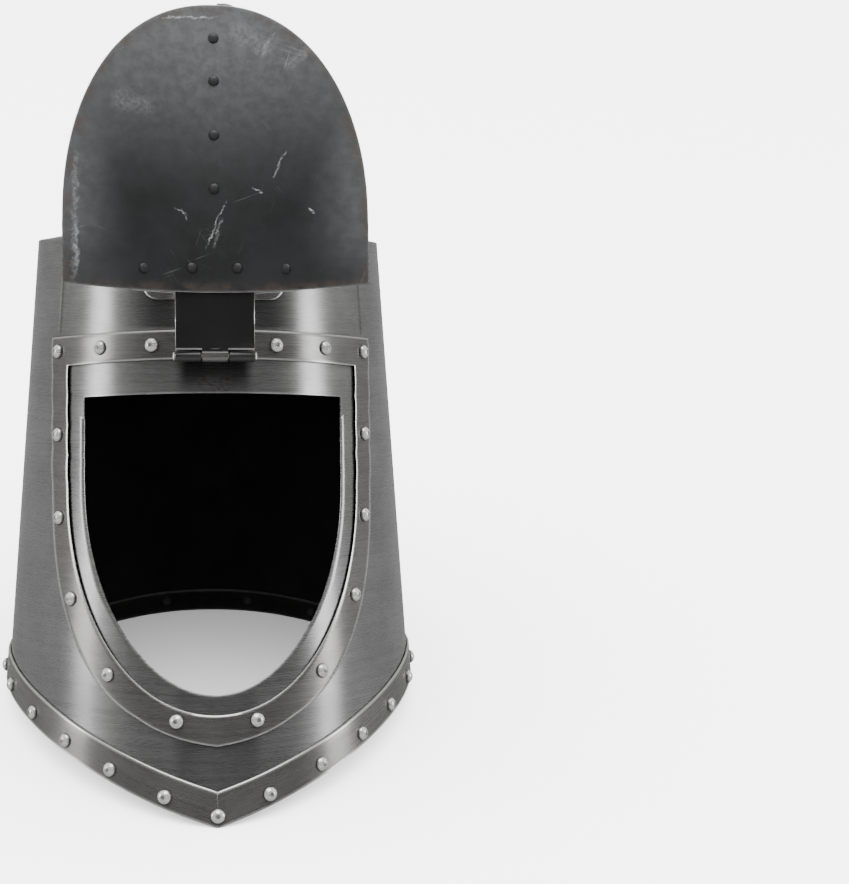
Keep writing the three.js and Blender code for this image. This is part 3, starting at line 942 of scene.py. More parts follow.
class Nodes:
    """Adds and joins the nodes of one node tree."""

    def __init__(self, tree: bpy.types.NodeTree) -> None:
        """Holds the tree."""
        self.tree = tree

    @classmethod
    def of_new(cls, holder: bpy.types.ID) -> "Nodes":
        """The emptied node tree of a new material or world."""
        holder.use_nodes = True
        holder.node_tree.nodes.clear()
        return cls(holder.node_tree)

    def feed(self, socket: Socket, value: object) -> None:
        """Gives an input a value, or joins it to an output."""
        if isinstance(value, Socket):
            self.tree.links.new(value, socket)
        else:
            socket.default_value = value

    def add(self, kind: str, inputs: Optional[dict] = None, **settings: object) -> bpy.types.Node:
        """Adds a node.

        Args:
            kind: The node's type name, without the leading word ShaderNode.
            inputs: Values or sockets for its inputs, by name or number.
            settings: Properties of the node.

        Returns:
            The node.
        """
        node = self.tree.nodes.new("ShaderNode" + kind)
        for name, value in settings.items():
            setattr(node, name, value)
        for key, value in (inputs or {}).items():
            self.feed(node.inputs[key], value)
        return node

    def math(self, operation: str, first: object, second: object = 0.0, clamp: bool = False) -> Socket:
        """The result of one sum."""
        return self.add("Math", {0: first, 1: second}, operation=operation, use_clamp=clamp).outputs[0]

    def times(self, first: object, second: object) -> Socket:
        """The product of two values."""
        return self.math("MULTIPLY", first, second)

    def plus(self, first: object, second: object) -> Socket:
        """The sum of two values."""
        return self.math("ADD", first, second)

    def minus(self, first: object, second: object) -> Socket:
        """The first value less the second."""
        return self.math("SUBTRACT", first, second)

    def vector(self, operation: str, first: object, second: object) -> Socket:
        """The result of one sum of vectors, or of a vector and the number that scales it."""
        key = 3 if operation == "SCALE" else 1
        return self.add("VectorMath", {0: first, key: second}, operation=operation).outputs[0]

    def mapped(self, value: object, span: Span, to: Span = (0.0, 1.0)) -> Socket:
        """A value carried from one range to another, with smooth ends."""
        limits = {"From Min": span[0], "From Max": span[1], "To Min": to[0], "To Max": to[1]}
        node = self.add("MapRange", {"Value": value, **limits}, interpolation_type="SMOOTHSTEP")
        return node.outputs["Result"]

    def mixed(self, share: object, first: object, second: object) -> Socket:
        """A mix of two colours."""
        return self.add("Mix", {0: share, 6: first, 7: second}, data_type="RGBA").outputs[2]

    def scaled(self, vector: Socket, scale: tuple[float, float, float], turn: float = 0.0) -> Socket:
        """A coordinate turned in its plane, then stretched."""
        turned = self.add("VectorRotate", {"Vector": vector, "Angle": turn}, rotation_type="Z_AXIS")
        return self.vector("MULTIPLY", turned.outputs[0], scale)

    def noise(self, vector: Socket, grain: Grain, output: str = "Fac") -> Socket:
        """Noise over a coordinate."""
        values = {"Scale": grain.scale, "Detail": grain.detail, "Roughness": grain.rough}
        return self.add("TexNoise", {"Vector": vector, **values}).outputs[output]

    def corner(self, reach: float) -> Socket:
        """How open a place is, from 0 deep in a corner to 1."""
        return self.add("AmbientOcclusion", {"Distance": reach}, samples=8).outputs["AO"]

    def finish(self, height: Socket, inputs: dict) -> None:
        """Adds the shader with its relief, and the material's output.

        Args:
            height: The height of the relief.
            inputs: Values or sockets for the shader's other inputs.
        """
        bump = self.add("Bump", {"Height": height, "Distance": 1.0, "Strength": 1.0})
        shader = self.add("BsdfPrincipled", {**inputs, "Normal": bump.outputs[0]})
        self.add("OutputMaterial", {"Surface": shader.outputs[0]})


class EffectGroup:
    """A shader node group with a coordinate and named values coming in, and one value going out."""

    values: tuple[str, ...] = ()

    def __init__(self, name: str) -> None:
        """Makes the group with its sockets, and builds the effect in it."""
        self.tree = bpy.data.node_groups.new(name, "ShaderNodeTree")
        self.tree.interface.new_socket("Coordinate", in_out="INPUT", socket_type="NodeSocketVector")
        for value in self.values:
            self.tree.interface.new_socket(value, in_out="INPUT", socket_type="NodeSocketFloat")
        self.tree.interface.new_socket("Value", in_out="OUTPUT", socket_type="NodeSocketFloat")
        self.nodes = Nodes(self.tree)
        self.given = self.tree.nodes.new("NodeGroupInput").outputs
        self.coordinate = self.given["Coordinate"]
        self.output = self.tree.nodes.new("NodeGroupOutput")
        self.tree.links.new(self.build(), self.output.inputs["Value"])

    def build(self) -> Socket:
        """Builds the effect and returns its value."""
        raise NotImplementedError

    def use(self, nodes: Nodes, coordinate: Socket, **given: float) -> Socket:
        """Adds the group to a material.

        Args:
            nodes: The material's nodes.
            coordinate: The place on the flat sheet.
            given: Values for the group's other inputs.

        Returns:
            The group's value.
        """
        node = nodes.tree.nodes.new("ShaderNodeGroup")
        node.node_tree = self.tree
        for name, value in {"Coordinate": coordinate, **given}.items():
            nodes.feed(node.inputs[name], value)
        return node.outputs["Value"]


class BrushLines(EffectGroup):
    """Fine parallel lines left by a brush that ran round the helm."""

    fine_stretch = (14.0, 2600.0, 1.0)
    fine_grain = Grain(detail=3.0, rough=0.6)
    fine_share = 0.6
    coarse_stretch = (5.0, 320.0, 1.0)
    coarse_share = 0.4

    def build(self) -> Socket:
        """Adds fine and coarse lines."""
        nodes = self.nodes
        fine = nodes.noise(nodes.scaled(self.coordinate, self.fine_stretch), self.fine_grain)
        coarse = nodes.noise(nodes.scaled(self.coordinate, self.coarse_stretch), Grain())
        return nodes.plus(nodes.times(fine, self.fine_share), nodes.times(coarse, self.coarse_share))


class Scratches(EffectGroup):
    """Thin scratches in several directions."""

    directions = (0.35, 1.25, 2.2, 2.75)
    stretch = (34.0, 1500.0, 1.0)
    crests = (0.72, 0.80)
    patch_grain = Grain(scale=32.0)
    patches = (0.48, 0.66)

    def build(self) -> Socket:
        """Keeps the crests of stretched noise in each direction."""
        nodes = self.nodes
        total: object = 0.0
        for turn in self.directions:
            noise = nodes.noise(nodes.scaled(self.coordinate, self.stretch, turn), Grain(detail=1.0))
            total = nodes.plus(total, nodes.mapped(noise, self.crests))
        patchy = nodes.mapped(nodes.noise(self.coordinate, self.patch_grain), self.patches)
        return nodes.math("MULTIPLY", total, patchy, clamp=True)


class Blotches(EffectGroup):
    """Soft uneven patches."""

    grain = Grain(scale=26.0, detail=6.0, rough=0.62)
    middle = (0.36, 0.66)

    def build(self) -> Socket:
        """Spreads the middle of a slow noise."""
        return self.nodes.mapped(self.nodes.noise(self.coordinate, self.grain), self.middle)


class Stroke(EffectGroup):
    """One ragged stroke, light or dark, at a place on the sheet."""

    values = ("Turn", "Length", "Width")
    waver_grain = Grain(scale=140.0, detail=5.0, rough=0.65)
    waver_middle = (0.5, 0.5, 0.5)
    waver_reach = 8 * MM
    end_power = 4.0
    fade = (0.0, 0.25)
    gap_grain = Grain(scale=420.0, detail=5.0, rough=0.75)
    gaps = (0.38, 0.62)

    def build(self) -> Socket:
        """Fades out along and across a line, and breaks the line with noise."""
        nodes = self.nodes
        waver = nodes.noise(self.coordinate, self.waver_grain, "Color")
        waver = nodes.vector("SUBTRACT", waver, self.waver_middle)
        place = nodes.vector("ADD", self.coordinate, nodes.vector("SCALE", waver, self.waver_reach))
        given = {"Vector": place, "Angle": self.given["Turn"]}
        turned = nodes.add("VectorRotate", given, rotation_type="Z_AXIS", invert=True)
        parts = nodes.add("SeparateXYZ", {0: turned.outputs[0]}).outputs
        along = nodes.math("DIVIDE", parts[0], self.given["Length"])
        across = nodes.math("DIVIDE", parts[1], self.given["Width"])
        distance = nodes.plus(nodes.math("POWER", along, self.end_power), nodes.times(across, across))
        body = nodes.mapped(distance, self.fade, (1.0, 0.0))
        return nodes.times(body, nodes.mapped(nodes.noise(self.coordinate, self.gap_grain), self.gaps))


class Ripples(EffectGroup):
    """The slow unevenness of hammered sheet."""

    stretch = (16.0, 7.0, 1.0)

    def build(self) -> Socket:
        """Slow noise, stretched up the helm."""
        return self.nodes.noise(self.nodes.scaled(self.coordinate, self.stretch), Grain(detail=1.0))


@dataclass
class Effects:
    """The shared effects."""

    lines: BrushLines = field(default_factory=lambda: BrushLines("brush lines"))
    scratches: Scratches = field(default_factory=lambda: Scratches("scratches"))
    blotches: Blotches = field(default_factory=lambda: Blotches("blotches"))
    ripples: Ripples = field(default_factory=lambda: Ripples("ripples"))
    stroke: Stroke = field(default_factory=lambda: Stroke("stroke"))


EFFECTS = Effects()


@dataclass(frozen=True)
class FrontMarks:
    """Marks of the front plate and painted light on it: creases with painted shade over the ends of the brow
    band, painted shade and dark reflection under the hinge and beside the strap, and a stain.

    Attributes:
        crease_turn: Angle round the plan of the creases.
        crease_half: Half of a crease's width.
        crease_depth: Depth of a crease.
        crease_shade_share: How dark the painted shade in a crease is.
        hinge_shade: Half widths between which the shade under the hinge fades.
        under_band: Its strength at the opening and at the brow band.
        strap_shade: Half widths between which the shade beside the strap fades.
        over_band: Its strength.
        blend: Height over which the one takes over from the other.
        stain_drop: Depth of the stain's middle below the hinge axis.
        stain_half: Half of the stain's width and of its height.
        stain_fade: Share of its size between which the stain fades.
        stain_stretch: Stretch of the scribbles in it.
        stain_turn: Their direction.
        stain_lines: The part of the noise that shows as scribbles.
        stain_share: How much of the stain shows.
    """

    crease_turn: float = math.radians(57.5)
    crease_half: float = 3 * MM
    crease_depth: float = 0.35 * MM
    crease_shade_share: float = 0.5
    hinge_shade: Span = (24 * MM, 34 * MM)
    under_band: Span = (0.3, 0.85)
    strap_shade: Span = (45 * MM, 74 * MM)
    over_band: float = 0.6
    blend: float = 2 * MM
    stain_drop: float = 15 * MM
    stain_half: Span = (26 * MM, 8 * MM)
    stain_fade: Span = (0.2, 1.0)
    stain_stretch: tuple[float, float, float] = (180.0, 640.0, 1.0)
    stain_turn: float = 0.4
    stain_lines: Span = (0.48, 0.60)
    stain_share: float = 0.45
    crease_shade_colour: Colour = (0.05, 0.05, 0.05, 1.0)
    shade_colour: Colour = (0.03, 0.03, 0.03, 1.0)
    stain_colour: Colour = (0.06, 0.042, 0.03, 1.0)

    def build(self, nodes: Nodes, flat: Socket, colour: Socket, height: Socket) -> tuple[Socket, Socket]:
        """Adds the marks.

        Args:
            nodes: The material's nodes.
            flat: The place on the flat sheet.
            colour: The colour so far.
            height: The height so far.

        Returns:
            The colour and the height with the marks.
        """
        around, up, _ = nodes.add("SeparateXYZ", {0: flat}).outputs
        off_middle = nodes.math("ABSOLUTE", around)
        crease = self._crease(nodes, off_middle, up)
        height = nodes.minus(height, nodes.times(crease, self.crease_depth))
        # Painted shade in the creases, on top of their relief.
        colour = nodes.mixed(nodes.times(crease, self.crease_shade_share), colour, self.crease_shade_colour)
        # Painted shade and dark reflection under the hinge and beside the strap.
        colour = nodes.mixed(self._shade(nodes, off_middle, up), colour, self.shade_colour)
        return nodes.mixed(self._stain(nodes, flat, around, up), colour, self.stain_colour), height

    def _crease(self, nodes: Nodes, off_middle: Socket, up: Socket) -> Socket:
        """The creases, which begin at the ends of the brow band."""
        crease_around = self.crease_turn * WALL.round_radius
        beside = nodes.math("ABSOLUTE", nodes.minus(off_middle, crease_around))
        over_brow = nodes.mapped(up, (FACE.brow_foot_z + FACE.brow_height, FACE.brow_top_z))
        return nodes.times(nodes.mapped(beside, (0.0, self.crease_half), (1.0, 0.0)), over_brow)

    def _shade(self, nodes: Nodes, off_middle: Socket, up: Socket) -> Socket:
        """The painted shade and dark reflection under the hinge, and over the brow band those beside the
        strap.

        Args:
            nodes: The material's nodes.
            off_middle: Distance from the middle.
            up: Height.

        Returns:
            How dark it is.
        """
        under_hinge = nodes.mapped(off_middle, self.hinge_shade, (1.0, 0.0))
        level = nodes.mapped(up, (FACE.opening_top_z, FACE.brow_foot_z), self.under_band)
        band = (FACE.brow_top_z, FACE.brow_top_z + self.blend)
        below = nodes.times(nodes.times(under_hinge, level), nodes.mapped(up, band, (1.0, 0.0)))
        beside_strap = nodes.mapped(off_middle, self.strap_shade, (1.0, 0.0))
        return nodes.plus(below, nodes.times(beside_strap, nodes.mapped(up, band, (0.0, self.over_band))))

    def _stain(self, nodes: Nodes, flat: Socket, around: Socket, up: Socket) -> Socket:
        """The stain of fine scribbles under the hinge.

        Args:
            nodes: The material's nodes.
            flat: The place on the flat sheet.
            around: Its length round the plan.
            up: Its height.

        Returns:
            How dark it is.
        """
        below = nodes.minus(up, FITTINGS.hinge_z - self.stain_drop)
        wide, tall = (
            nodes.math("POWER", nodes.math("DIVIDE", value, half), 2.0)
            for value, half in zip((around, below), self.stain_half)
        )
        spot = nodes.mapped(nodes.plus(wide, tall), self.stain_fade, (1.0, 0.0))
        stretched = nodes.scaled(flat, self.stain_stretch, self.stain_turn)
        scribble = nodes.mapped(nodes.noise(stretched, Grain(detail=4.0)), self.stain_lines)
        return nodes.times(nodes.times(spot, scribble), self.stain_share)


@dataclass(frozen=True)
class Steel:
    """A brushed, satin or polished steel.

    Attributes:
        name: The material's name.
        light: Its colour.
        dark: Its colour in patches.
        roughness: Its mean roughness.
        stretch: How much the brushing stretches reflections, from 0 to 1.
        line_depth: Height of the brush lines.
        ripple_depth: Height of the sheet's slow unevenness.
        corner_shade: How dark the painted shade is in corners beside other pieces.
        bright_edge: How much brighter the edges are, as wear and as a painted highlight.
        metallic: How metallic it looks.
        centre: How dark the painted dark reflection in the middle of a rivet's head is; when it is set, the
            rim of the head also gets a painted shadow.
        marks: Marks and painted shade that only some plates carry.
    """

    name: str
    light: Colour = (0.40, 0.40, 0.405, 1.0)
    dark: Colour = (0.28, 0.275, 0.275, 1.0)
    roughness: float = 0.27
    stretch: float = 0.8
    line_depth: float = 0.0015 * MM
    ripple_depth: float = 0.4 * MM
    corner_shade: float = 0.8
    bright_edge: float = 0.35
    metallic: float = 1.0
    centre: float = 0.0
    marks: Optional[FrontMarks] = None

    # What all steels share: their brush lines, painted shade in corners, edges worn and painted brighter as a
    # highlight, and a rivet's painted dark reflection and shadow.
    blotch_share = 0.55
    line_span = (0.3, 0.7)
    line_shade = (0.93, 1.05)
    line_rough = (-0.02, 0.03)
    corner_shade_reach = 3.5 * MM
    corner_shade_span = (0.35, 0.9)
    edge_span = (0.5 * MM, 1.6 * MM)
    centre_reflection_span = (0.8 * MM, 1.9 * MM)
    seat_shadow_span = (3.6 * MM, 4.3 * MM)
    seat_shadow_share = 0.9
    brush_turn = 0.25
    corner_shade_colour = (0.018, 0.016, 0.014, 1.0)
    edge_colour = (0.9, 0.9, 0.9, 1.0)
    head_shade_colour = (0.05, 0.05, 0.05, 1.0)

    def build(self) -> bpy.types.Material:
        """Makes the material."""
        material = bpy.data.materials.new(self.name)
        nodes = Nodes.of_new(material)
        flat = nodes.add("UVMap", uv_map=FLAT_MAP).outputs[0]
        lines = EFFECTS.lines.use(nodes, flat)
        blotches = EFFECTS.blotches.use(nodes, flat)
        ripples = EFFECTS.ripples.use(nodes, flat)
        colour = nodes.mixed(nodes.times(blotches, self.blotch_share), self.light, self.dark)
        colour = nodes.vector("SCALE", colour, nodes.mapped(lines, self.line_span, self.line_shade))
        # Painted shade: ambient occlusion darkens the colour in corners beside other pieces and round each
        # rivet.
        painted_corner_shade = nodes.mapped(nodes.corner(self.corner_shade_reach), self.corner_shade_span, (self.corner_shade, 0.0))
        colour = nodes.mixed(painted_corner_shade, colour, self.corner_shade_colour)
        edge = nodes.add("Attribute", attribute_name=EDGE_ATTRIBUTE).outputs["Fac"]
        # Worn edges, painted brighter also as a highlight along them.
        if self.bright_edge:
            worn = nodes.mapped(edge, self.edge_span, (self.bright_edge, 0.0))
            colour = nodes.mixed(worn, colour, self.edge_colour)
        # Painted dark reflection in the middle of a rivet's head, and painted shadow at the rim of the head.
        if self.centre:
            middle = nodes.mapped(edge, self.centre_reflection_span, (self.centre, 0.0))
            seat = nodes.mapped(edge, self.seat_shadow_span, (0.0, self.seat_shadow_share))
            colour = nodes.mixed(nodes.plus(middle, seat), colour, self.head_shade_colour)
        height = nodes.plus(nodes.times(lines, self.line_depth), nodes.times(ripples, self.ripple_depth))
        low, high = self.line_rough
        rough = nodes.mapped(lines, self.line_span, (self.roughness + low, self.roughness + high))
        if self.marks:
            colour, height = self.marks.build(nodes, flat, colour, height)
        tangent = nodes.add("Tangent", direction_type="UV_MAP", uv_map=FLAT_MAP)
        nodes.finish(height, {
            "Base Color": colour,
            "Metallic": self.metallic,
            "Roughness": rough,
            "Anisotropic": self.stretch,
            "Anisotropic Rotation": self.brush_turn,
            "Tangent": tangent.outputs[0],
        })
        return material


@dataclass(frozen=True)
class Scuff:
    """A light stroke on the visor's inner face.

    Attributes:
        x: Place across the plate, in millimetres.
        z: Height on the shut visor, in millimetres.
        turn: Direction, in degrees from +X.
        length: Length, in millimetres.
        width: Width, in millimetres.
        strength: How much of it shows.
    """

    x: float
    z: float
    turn: float
    length: float
    width: float
    strength: float


VISOR_SCUFFS = (
    Scuff(1, 191, 113, 24, 1.0, 0.55),
    Scuff(2, 196, 108, 14, 2.2, 0.25),
    Scuff(37, 157, 117, 13, 1.2, 0.5),
    Scuff(24, 172, 22, 5, 1.6, 0.7),
    Scuff(54, 184, 60, 3, 2.4, 0.8),
    Scuff(-20, 184, 20, 6, 1.6, 0.4),
    Scuff(-17, 186, 75, 6, 1.4, 0.3),
    Scuff(-46, 124, 10, 20, 14, 0.1),
    Scuff(21, 85, 35, 22, 14, 0.1),
    Scuff(31, 88, 120, 12, 3, 0.2),
    Scuff(48, 96, 140, 16, 7, 0.12),
    Scuff(-77, 190, 91, 60, 4, 0.2),
    Scuff(-76, 207, 88, 20, 3, 0.4),
    Scuff(-14, 73, 176, 24, 1.6, 0.55),
)


@dataclass(frozen=True)
class Blackened:
    """Dark oxide or paint on the inside of a plate, with rubbed patches and scratches, painted shade in its
    corners and, on some plates, a painted sheen.

    Attributes:
        name: The material's name.
        deep: The darkest colour.
        rubbed: The colour of rubbed patches.
        pale: The colour of the painted sheen towards the foot of a plate, and of its worn edges.
        rust: The brownish colour near the edges.
        scuffed: The colour of scratches.
        roughness: Its mean roughness.
        metallic: How metallic it looks.
        scuffs: How much of the scratches shows.
        painted_sheen: How much of the painted sheen, in the pale colour, covers the plate towards its foot
            and its sides.
        edge_rust: How much of the brownish colour shows at the edges.
        edge_wear_and_highlight: How much of the pale colour shows on the edges, as wear and as a painted
            highlight.
        strokes: The strokes on it.
    """

    name: str
    deep: Colour = (0.004, 0.0043, 0.0048, 1.0)
    rubbed: Colour = (0.012, 0.013, 0.0145, 1.0)
    pale: Colour = (0.042, 0.0445, 0.046, 1.0)
    rust: Colour = (0.03, 0.019, 0.013, 1.0)
    scuffed: Colour = (0.24, 0.245, 0.25, 1.0)
    roughness: float = 0.45
    metallic: float = 0.2
    scuffs: float = 0.3
    painted_sheen: float = 0.0
    edge_rust: float = 0.75
    edge_wear_and_highlight: float = 0.0
    strokes: tuple[Scuff, ...] = ()

    # What all blackened plates share.
    blotch_share = 0.6
    rust_reach = 9 * MM
    rust_grain = Grain(scale=90.0, detail=5.0, rough=0.7)
    rust_span = (0.4, 0.62)
    edge_span = (0.6 * MM, 1.6 * MM)
    corner_shade_reach = 4 * MM
    corner_shade_span = (0.45, 0.95)
    corner_shade_share = 0.8
    corner_shade_colour = (0.004, 0.004, 0.004, 1.0)
    blotch_rough = (0.1, -0.08)
    ripple_depth = 0.8 * MM
    scratch_depth = 0.04 * MM
    side_share = 0.75
    top_share = 0.25
    speckle_grain = Grain(scale=160.0, detail=6.0, rough=0.7)
    speckle_span = (0.3, 0.7)
    speckle = (0.72, 1.18)

    def build(self) -> bpy.types.Material:
        """Makes the material."""
        material = bpy.data.materials.new(self.name)
        nodes = Nodes.of_new(material)
        flat = nodes.add("UVMap", uv_map=FLAT_MAP).outputs[0]
        blotches = EFFECTS.blotches.use(nodes, flat)
        scratches = EFFECTS.scratches.use(nodes, flat)
        ripples = EFFECTS.ripples.use(nodes, flat)
        colour = nodes.mixed(nodes.times(blotches, self.blotch_share), self.deep, self.rubbed)
        # Painted sheen: paler towards the foot and the sides of the plate.
        colour = nodes.mixed(self._painted_sheen(nodes, flat), colour, self.pale)
        edge = nodes.add("Attribute", attribute_name=EDGE_ATTRIBUTE).outputs["Fac"]
        near_edge = nodes.mapped(edge, (0.0, self.rust_reach), (self.edge_rust, 0.0))
        patchy = nodes.mapped(nodes.noise(flat, self.rust_grain), self.rust_span)
        colour = nodes.mixed(nodes.times(near_edge, patchy), colour, self.rust)
        # Worn edges, made paler also as a painted highlight along them.
        colour = nodes.mixed(nodes.mapped(edge, self.edge_span, (self.edge_wear_and_highlight, 0.0)), colour, self.pale)
        marks = nodes.times(scratches, self.scuffs)
        for scuff in self.strokes:
            marks = nodes.math("ADD", marks, self._stroke(nodes, flat, scuff), clamp=True)
        colour = nodes.mixed(marks, colour, self.scuffed)
        # Painted shade: ambient occlusion darkens the colour in corners and recesses.
        painted_corner_shade = nodes.mapped(nodes.corner(self.corner_shade_reach), self.corner_shade_span, (self.corner_shade_share, 0.0))
        colour = nodes.mixed(painted_corner_shade, colour, self.corner_shade_colour)
        low, high = self.blotch_rough
        rough = nodes.mapped(blotches, (0.0, 1.0), (self.roughness + low, self.roughness + high))
        height = nodes.times(ripples, self.ripple_depth)
        height = nodes.minus(height, nodes.times(scratches, self.scratch_depth))
        nodes.finish(height, {"Base Color": colour, "Metallic": self.metallic, "Roughness": rough})
        return material

    def _painted_sheen(self, nodes: Nodes, flat: Socket) -> Socket:
        """The painted sheen of the plate: paler towards its foot and its sides, with a fine speckle.

        Args:
            nodes: The material's nodes.
            flat: The place on the flat sheet.

        Returns:
            The share of the pale colour.
        """
        across, up, _ = nodes.add("SeparateXYZ", {0: flat}).outputs
        foot = nodes.mapped(up, (FACE.frame_inner_foot_z, FACE.curve_z), (self.painted_sheen, 0.0))
        reach = (0.5 * FACE.frame_inner_half, FACE.frame_inner_half)
        side = nodes.mapped(nodes.math("ABSOLUTE", across), reach, (0.0, self.side_share * self.painted_sheen))
        level = nodes.mapped(up, (FACE.curve_z, FACE.visor_top_z), (1.0, self.top_share))
        share = nodes.math("MAXIMUM", foot, nodes.times(side, level))
        speckle = nodes.mapped(nodes.noise(flat, self.speckle_grain), self.speckle_span, self.speckle)
        return nodes.times(share, speckle)

    @staticmethod
    def _stroke(nodes: Nodes, flat: Socket, scuff: Scuff) -> Socket:
        """One stroke of the plate."""
        moved = nodes.vector("SUBTRACT", flat, (scuff.x * MM, scuff.z * MM, 0.0))
        given = {"Turn": math.radians(scuff.turn), "Length": scuff.length * MM, "Width": scuff.width * MM}
        return nodes.times(EFFECTS.stroke.use(nodes, moved, **given), scuff.strength)


class Finishes:
    """All finishes of the helm."""

    def __init__(self) -> None:
        """Makes each finish once."""
        self.wall = Steel("wall steel").build()
        self.front = Steel("front steel", marks=FrontMarks()).build()
        self.trim = Steel(
            "trim steel",
            light=(0.34, 0.335, 0.33, 1.0),
            dark=(0.22, 0.21, 0.205, 1.0),
            bright_edge=0.9,
            corner_shade=0.9,
        ).build()
        self.rivet = Steel(
            "rivet steel",
            light=(0.9, 0.895, 0.88, 1.0),
            dark=(0.78, 0.77, 0.76, 1.0),
            roughness=0.22,
            stretch=0.0,
            line_depth=0.0,
            ripple_depth=0.0,
            bright_edge=0.0,
            corner_shade=0.0,
            metallic=0.9,
            centre=0.75,
        ).build()
        # Painted shade: the hinge plate's knuckles get this dark steel for the shade and the dark reflection
        # of the open visor's strap over them.
        self.knuckle = Steel(
            "knuckle steel",
            light=(0.13, 0.13, 0.13, 1.0),
            dark=(0.08, 0.078, 0.076, 1.0),
        ).build()
        self.black = Blackened(
            "blackened inside",
            deep=(0.001, 0.001, 0.0011, 1.0),
            rubbed=(0.0025, 0.0026, 0.0027, 1.0),
            scuffs=0.05,
            edge_rust=0.15,
            edge_wear_and_highlight=0.6,
        ).build()
        # The visor's inside carries a painted sheen, paler towards its foot and its sides.
        self.visor_inside = Blackened("visor inside", painted_sheen=1.0, edge_wear_and_highlight=0.5, strokes=VISOR_SCUFFS).build()
        self.tail = Blackened(
            "rivet tail",
            rubbed=(0.03, 0.03, 0.031, 1.0),
            roughness=0.35,
            edge_rust=0.0,
        ).build()


# Pieces
def added(name: str, data: bpy.types.ID, pose: Optional[Matrix] = None) -> bpy.types.Object:
    """Adds an object to the scene, at the origin or in a pose.

    Args:
        name: Its name.
        data: Its mesh, light or camera.
        pose: Its pose.

    Returns:
        The object.
    """
    made = bpy.data.objects.new(name, data)
    if pose is not None:
        made.matrix_world = pose
    bpy.context.scene.collection.objects.link(made)
    return made


class PieceMaker:
    """Turns surfaces into Blender objects that ride on a body of the frame."""

    weld_distance = 1e-6
    sharp_angle = math.radians(40)

    def __init__(self, finishes: Finishes) -> None:
        """Holds the finishes, and the names of the pieces made."""
        self.finishes = finishes
        self.made: list[str] = []

    def make(
        self,
        name: str,
        surface: Surface,
        body: Body,
        outer: bpy.types.Material,
        inner: bpy.types.Material,
        stands_for: Sequence[str] = (),
    ) -> bpy.types.Object:
        """Makes one piece.

        Args:
            name: The piece's name.
            surface: Its worn surface.
            body: The body that it rides on.
            outer: The finish of its outer face and edges.
            inner: The finish of its inner face.
            stands_for: CAD nodes that it replaces.

        Returns:
            The object, in the row frame.
        """
        points = REST.place(surface.points, body)
        mesh = bpy.data.meshes.new(name)
        mesh.from_pydata(points.tolist(), [], surface.faces.tolist())
        mesh.materials.append(outer)
        mesh.materials.append(inner)
        inside = (surface.sides == Side.INNER.value).astype(np.int32)
        mesh.polygons.foreach_set("material_index", inside)
        corners = np.empty(len(mesh.loops), np.int32)
        mesh.loops.foreach_get("vertex_index", corners)
        layer = mesh.uv_layers.new(name=FLAT_MAP)
        layer.data.foreach_set("uv", surface.flat[corners].astype(np.float32).ravel())
        edge = mesh.attributes.new(EDGE_ATTRIBUTE, "FLOAT", "POINT")
        edge.data.foreach_set("value", surface.edge.astype(np.float32))
        self._weld(mesh)
        piece = added(name, mesh)
        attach(piece, body.value)
        if stands_for:
            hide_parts(*stands_for)
        self.made.append(name)
        return piece

    def _weld(self, mesh: bpy.types.Mesh) -> None:
        """Closes the seams of the grid, turns all faces out and rounds the shading.

        Args:
            mesh: The mesh.
        """
        work = bmesh.new()
        work.from_mesh(mesh)
        bmesh.ops.remove_doubles(work, verts=work.verts, dist=self.weld_distance)
        bmesh.ops.recalc_face_normals(work, faces=work.faces)
        work.to_mesh(mesh)
        work.free()
        mesh.polygons.foreach_set("use_smooth", np.ones(len(mesh.polygons), bool))
        mesh.set_sharp_from_angle(angle=self.sharp_angle)


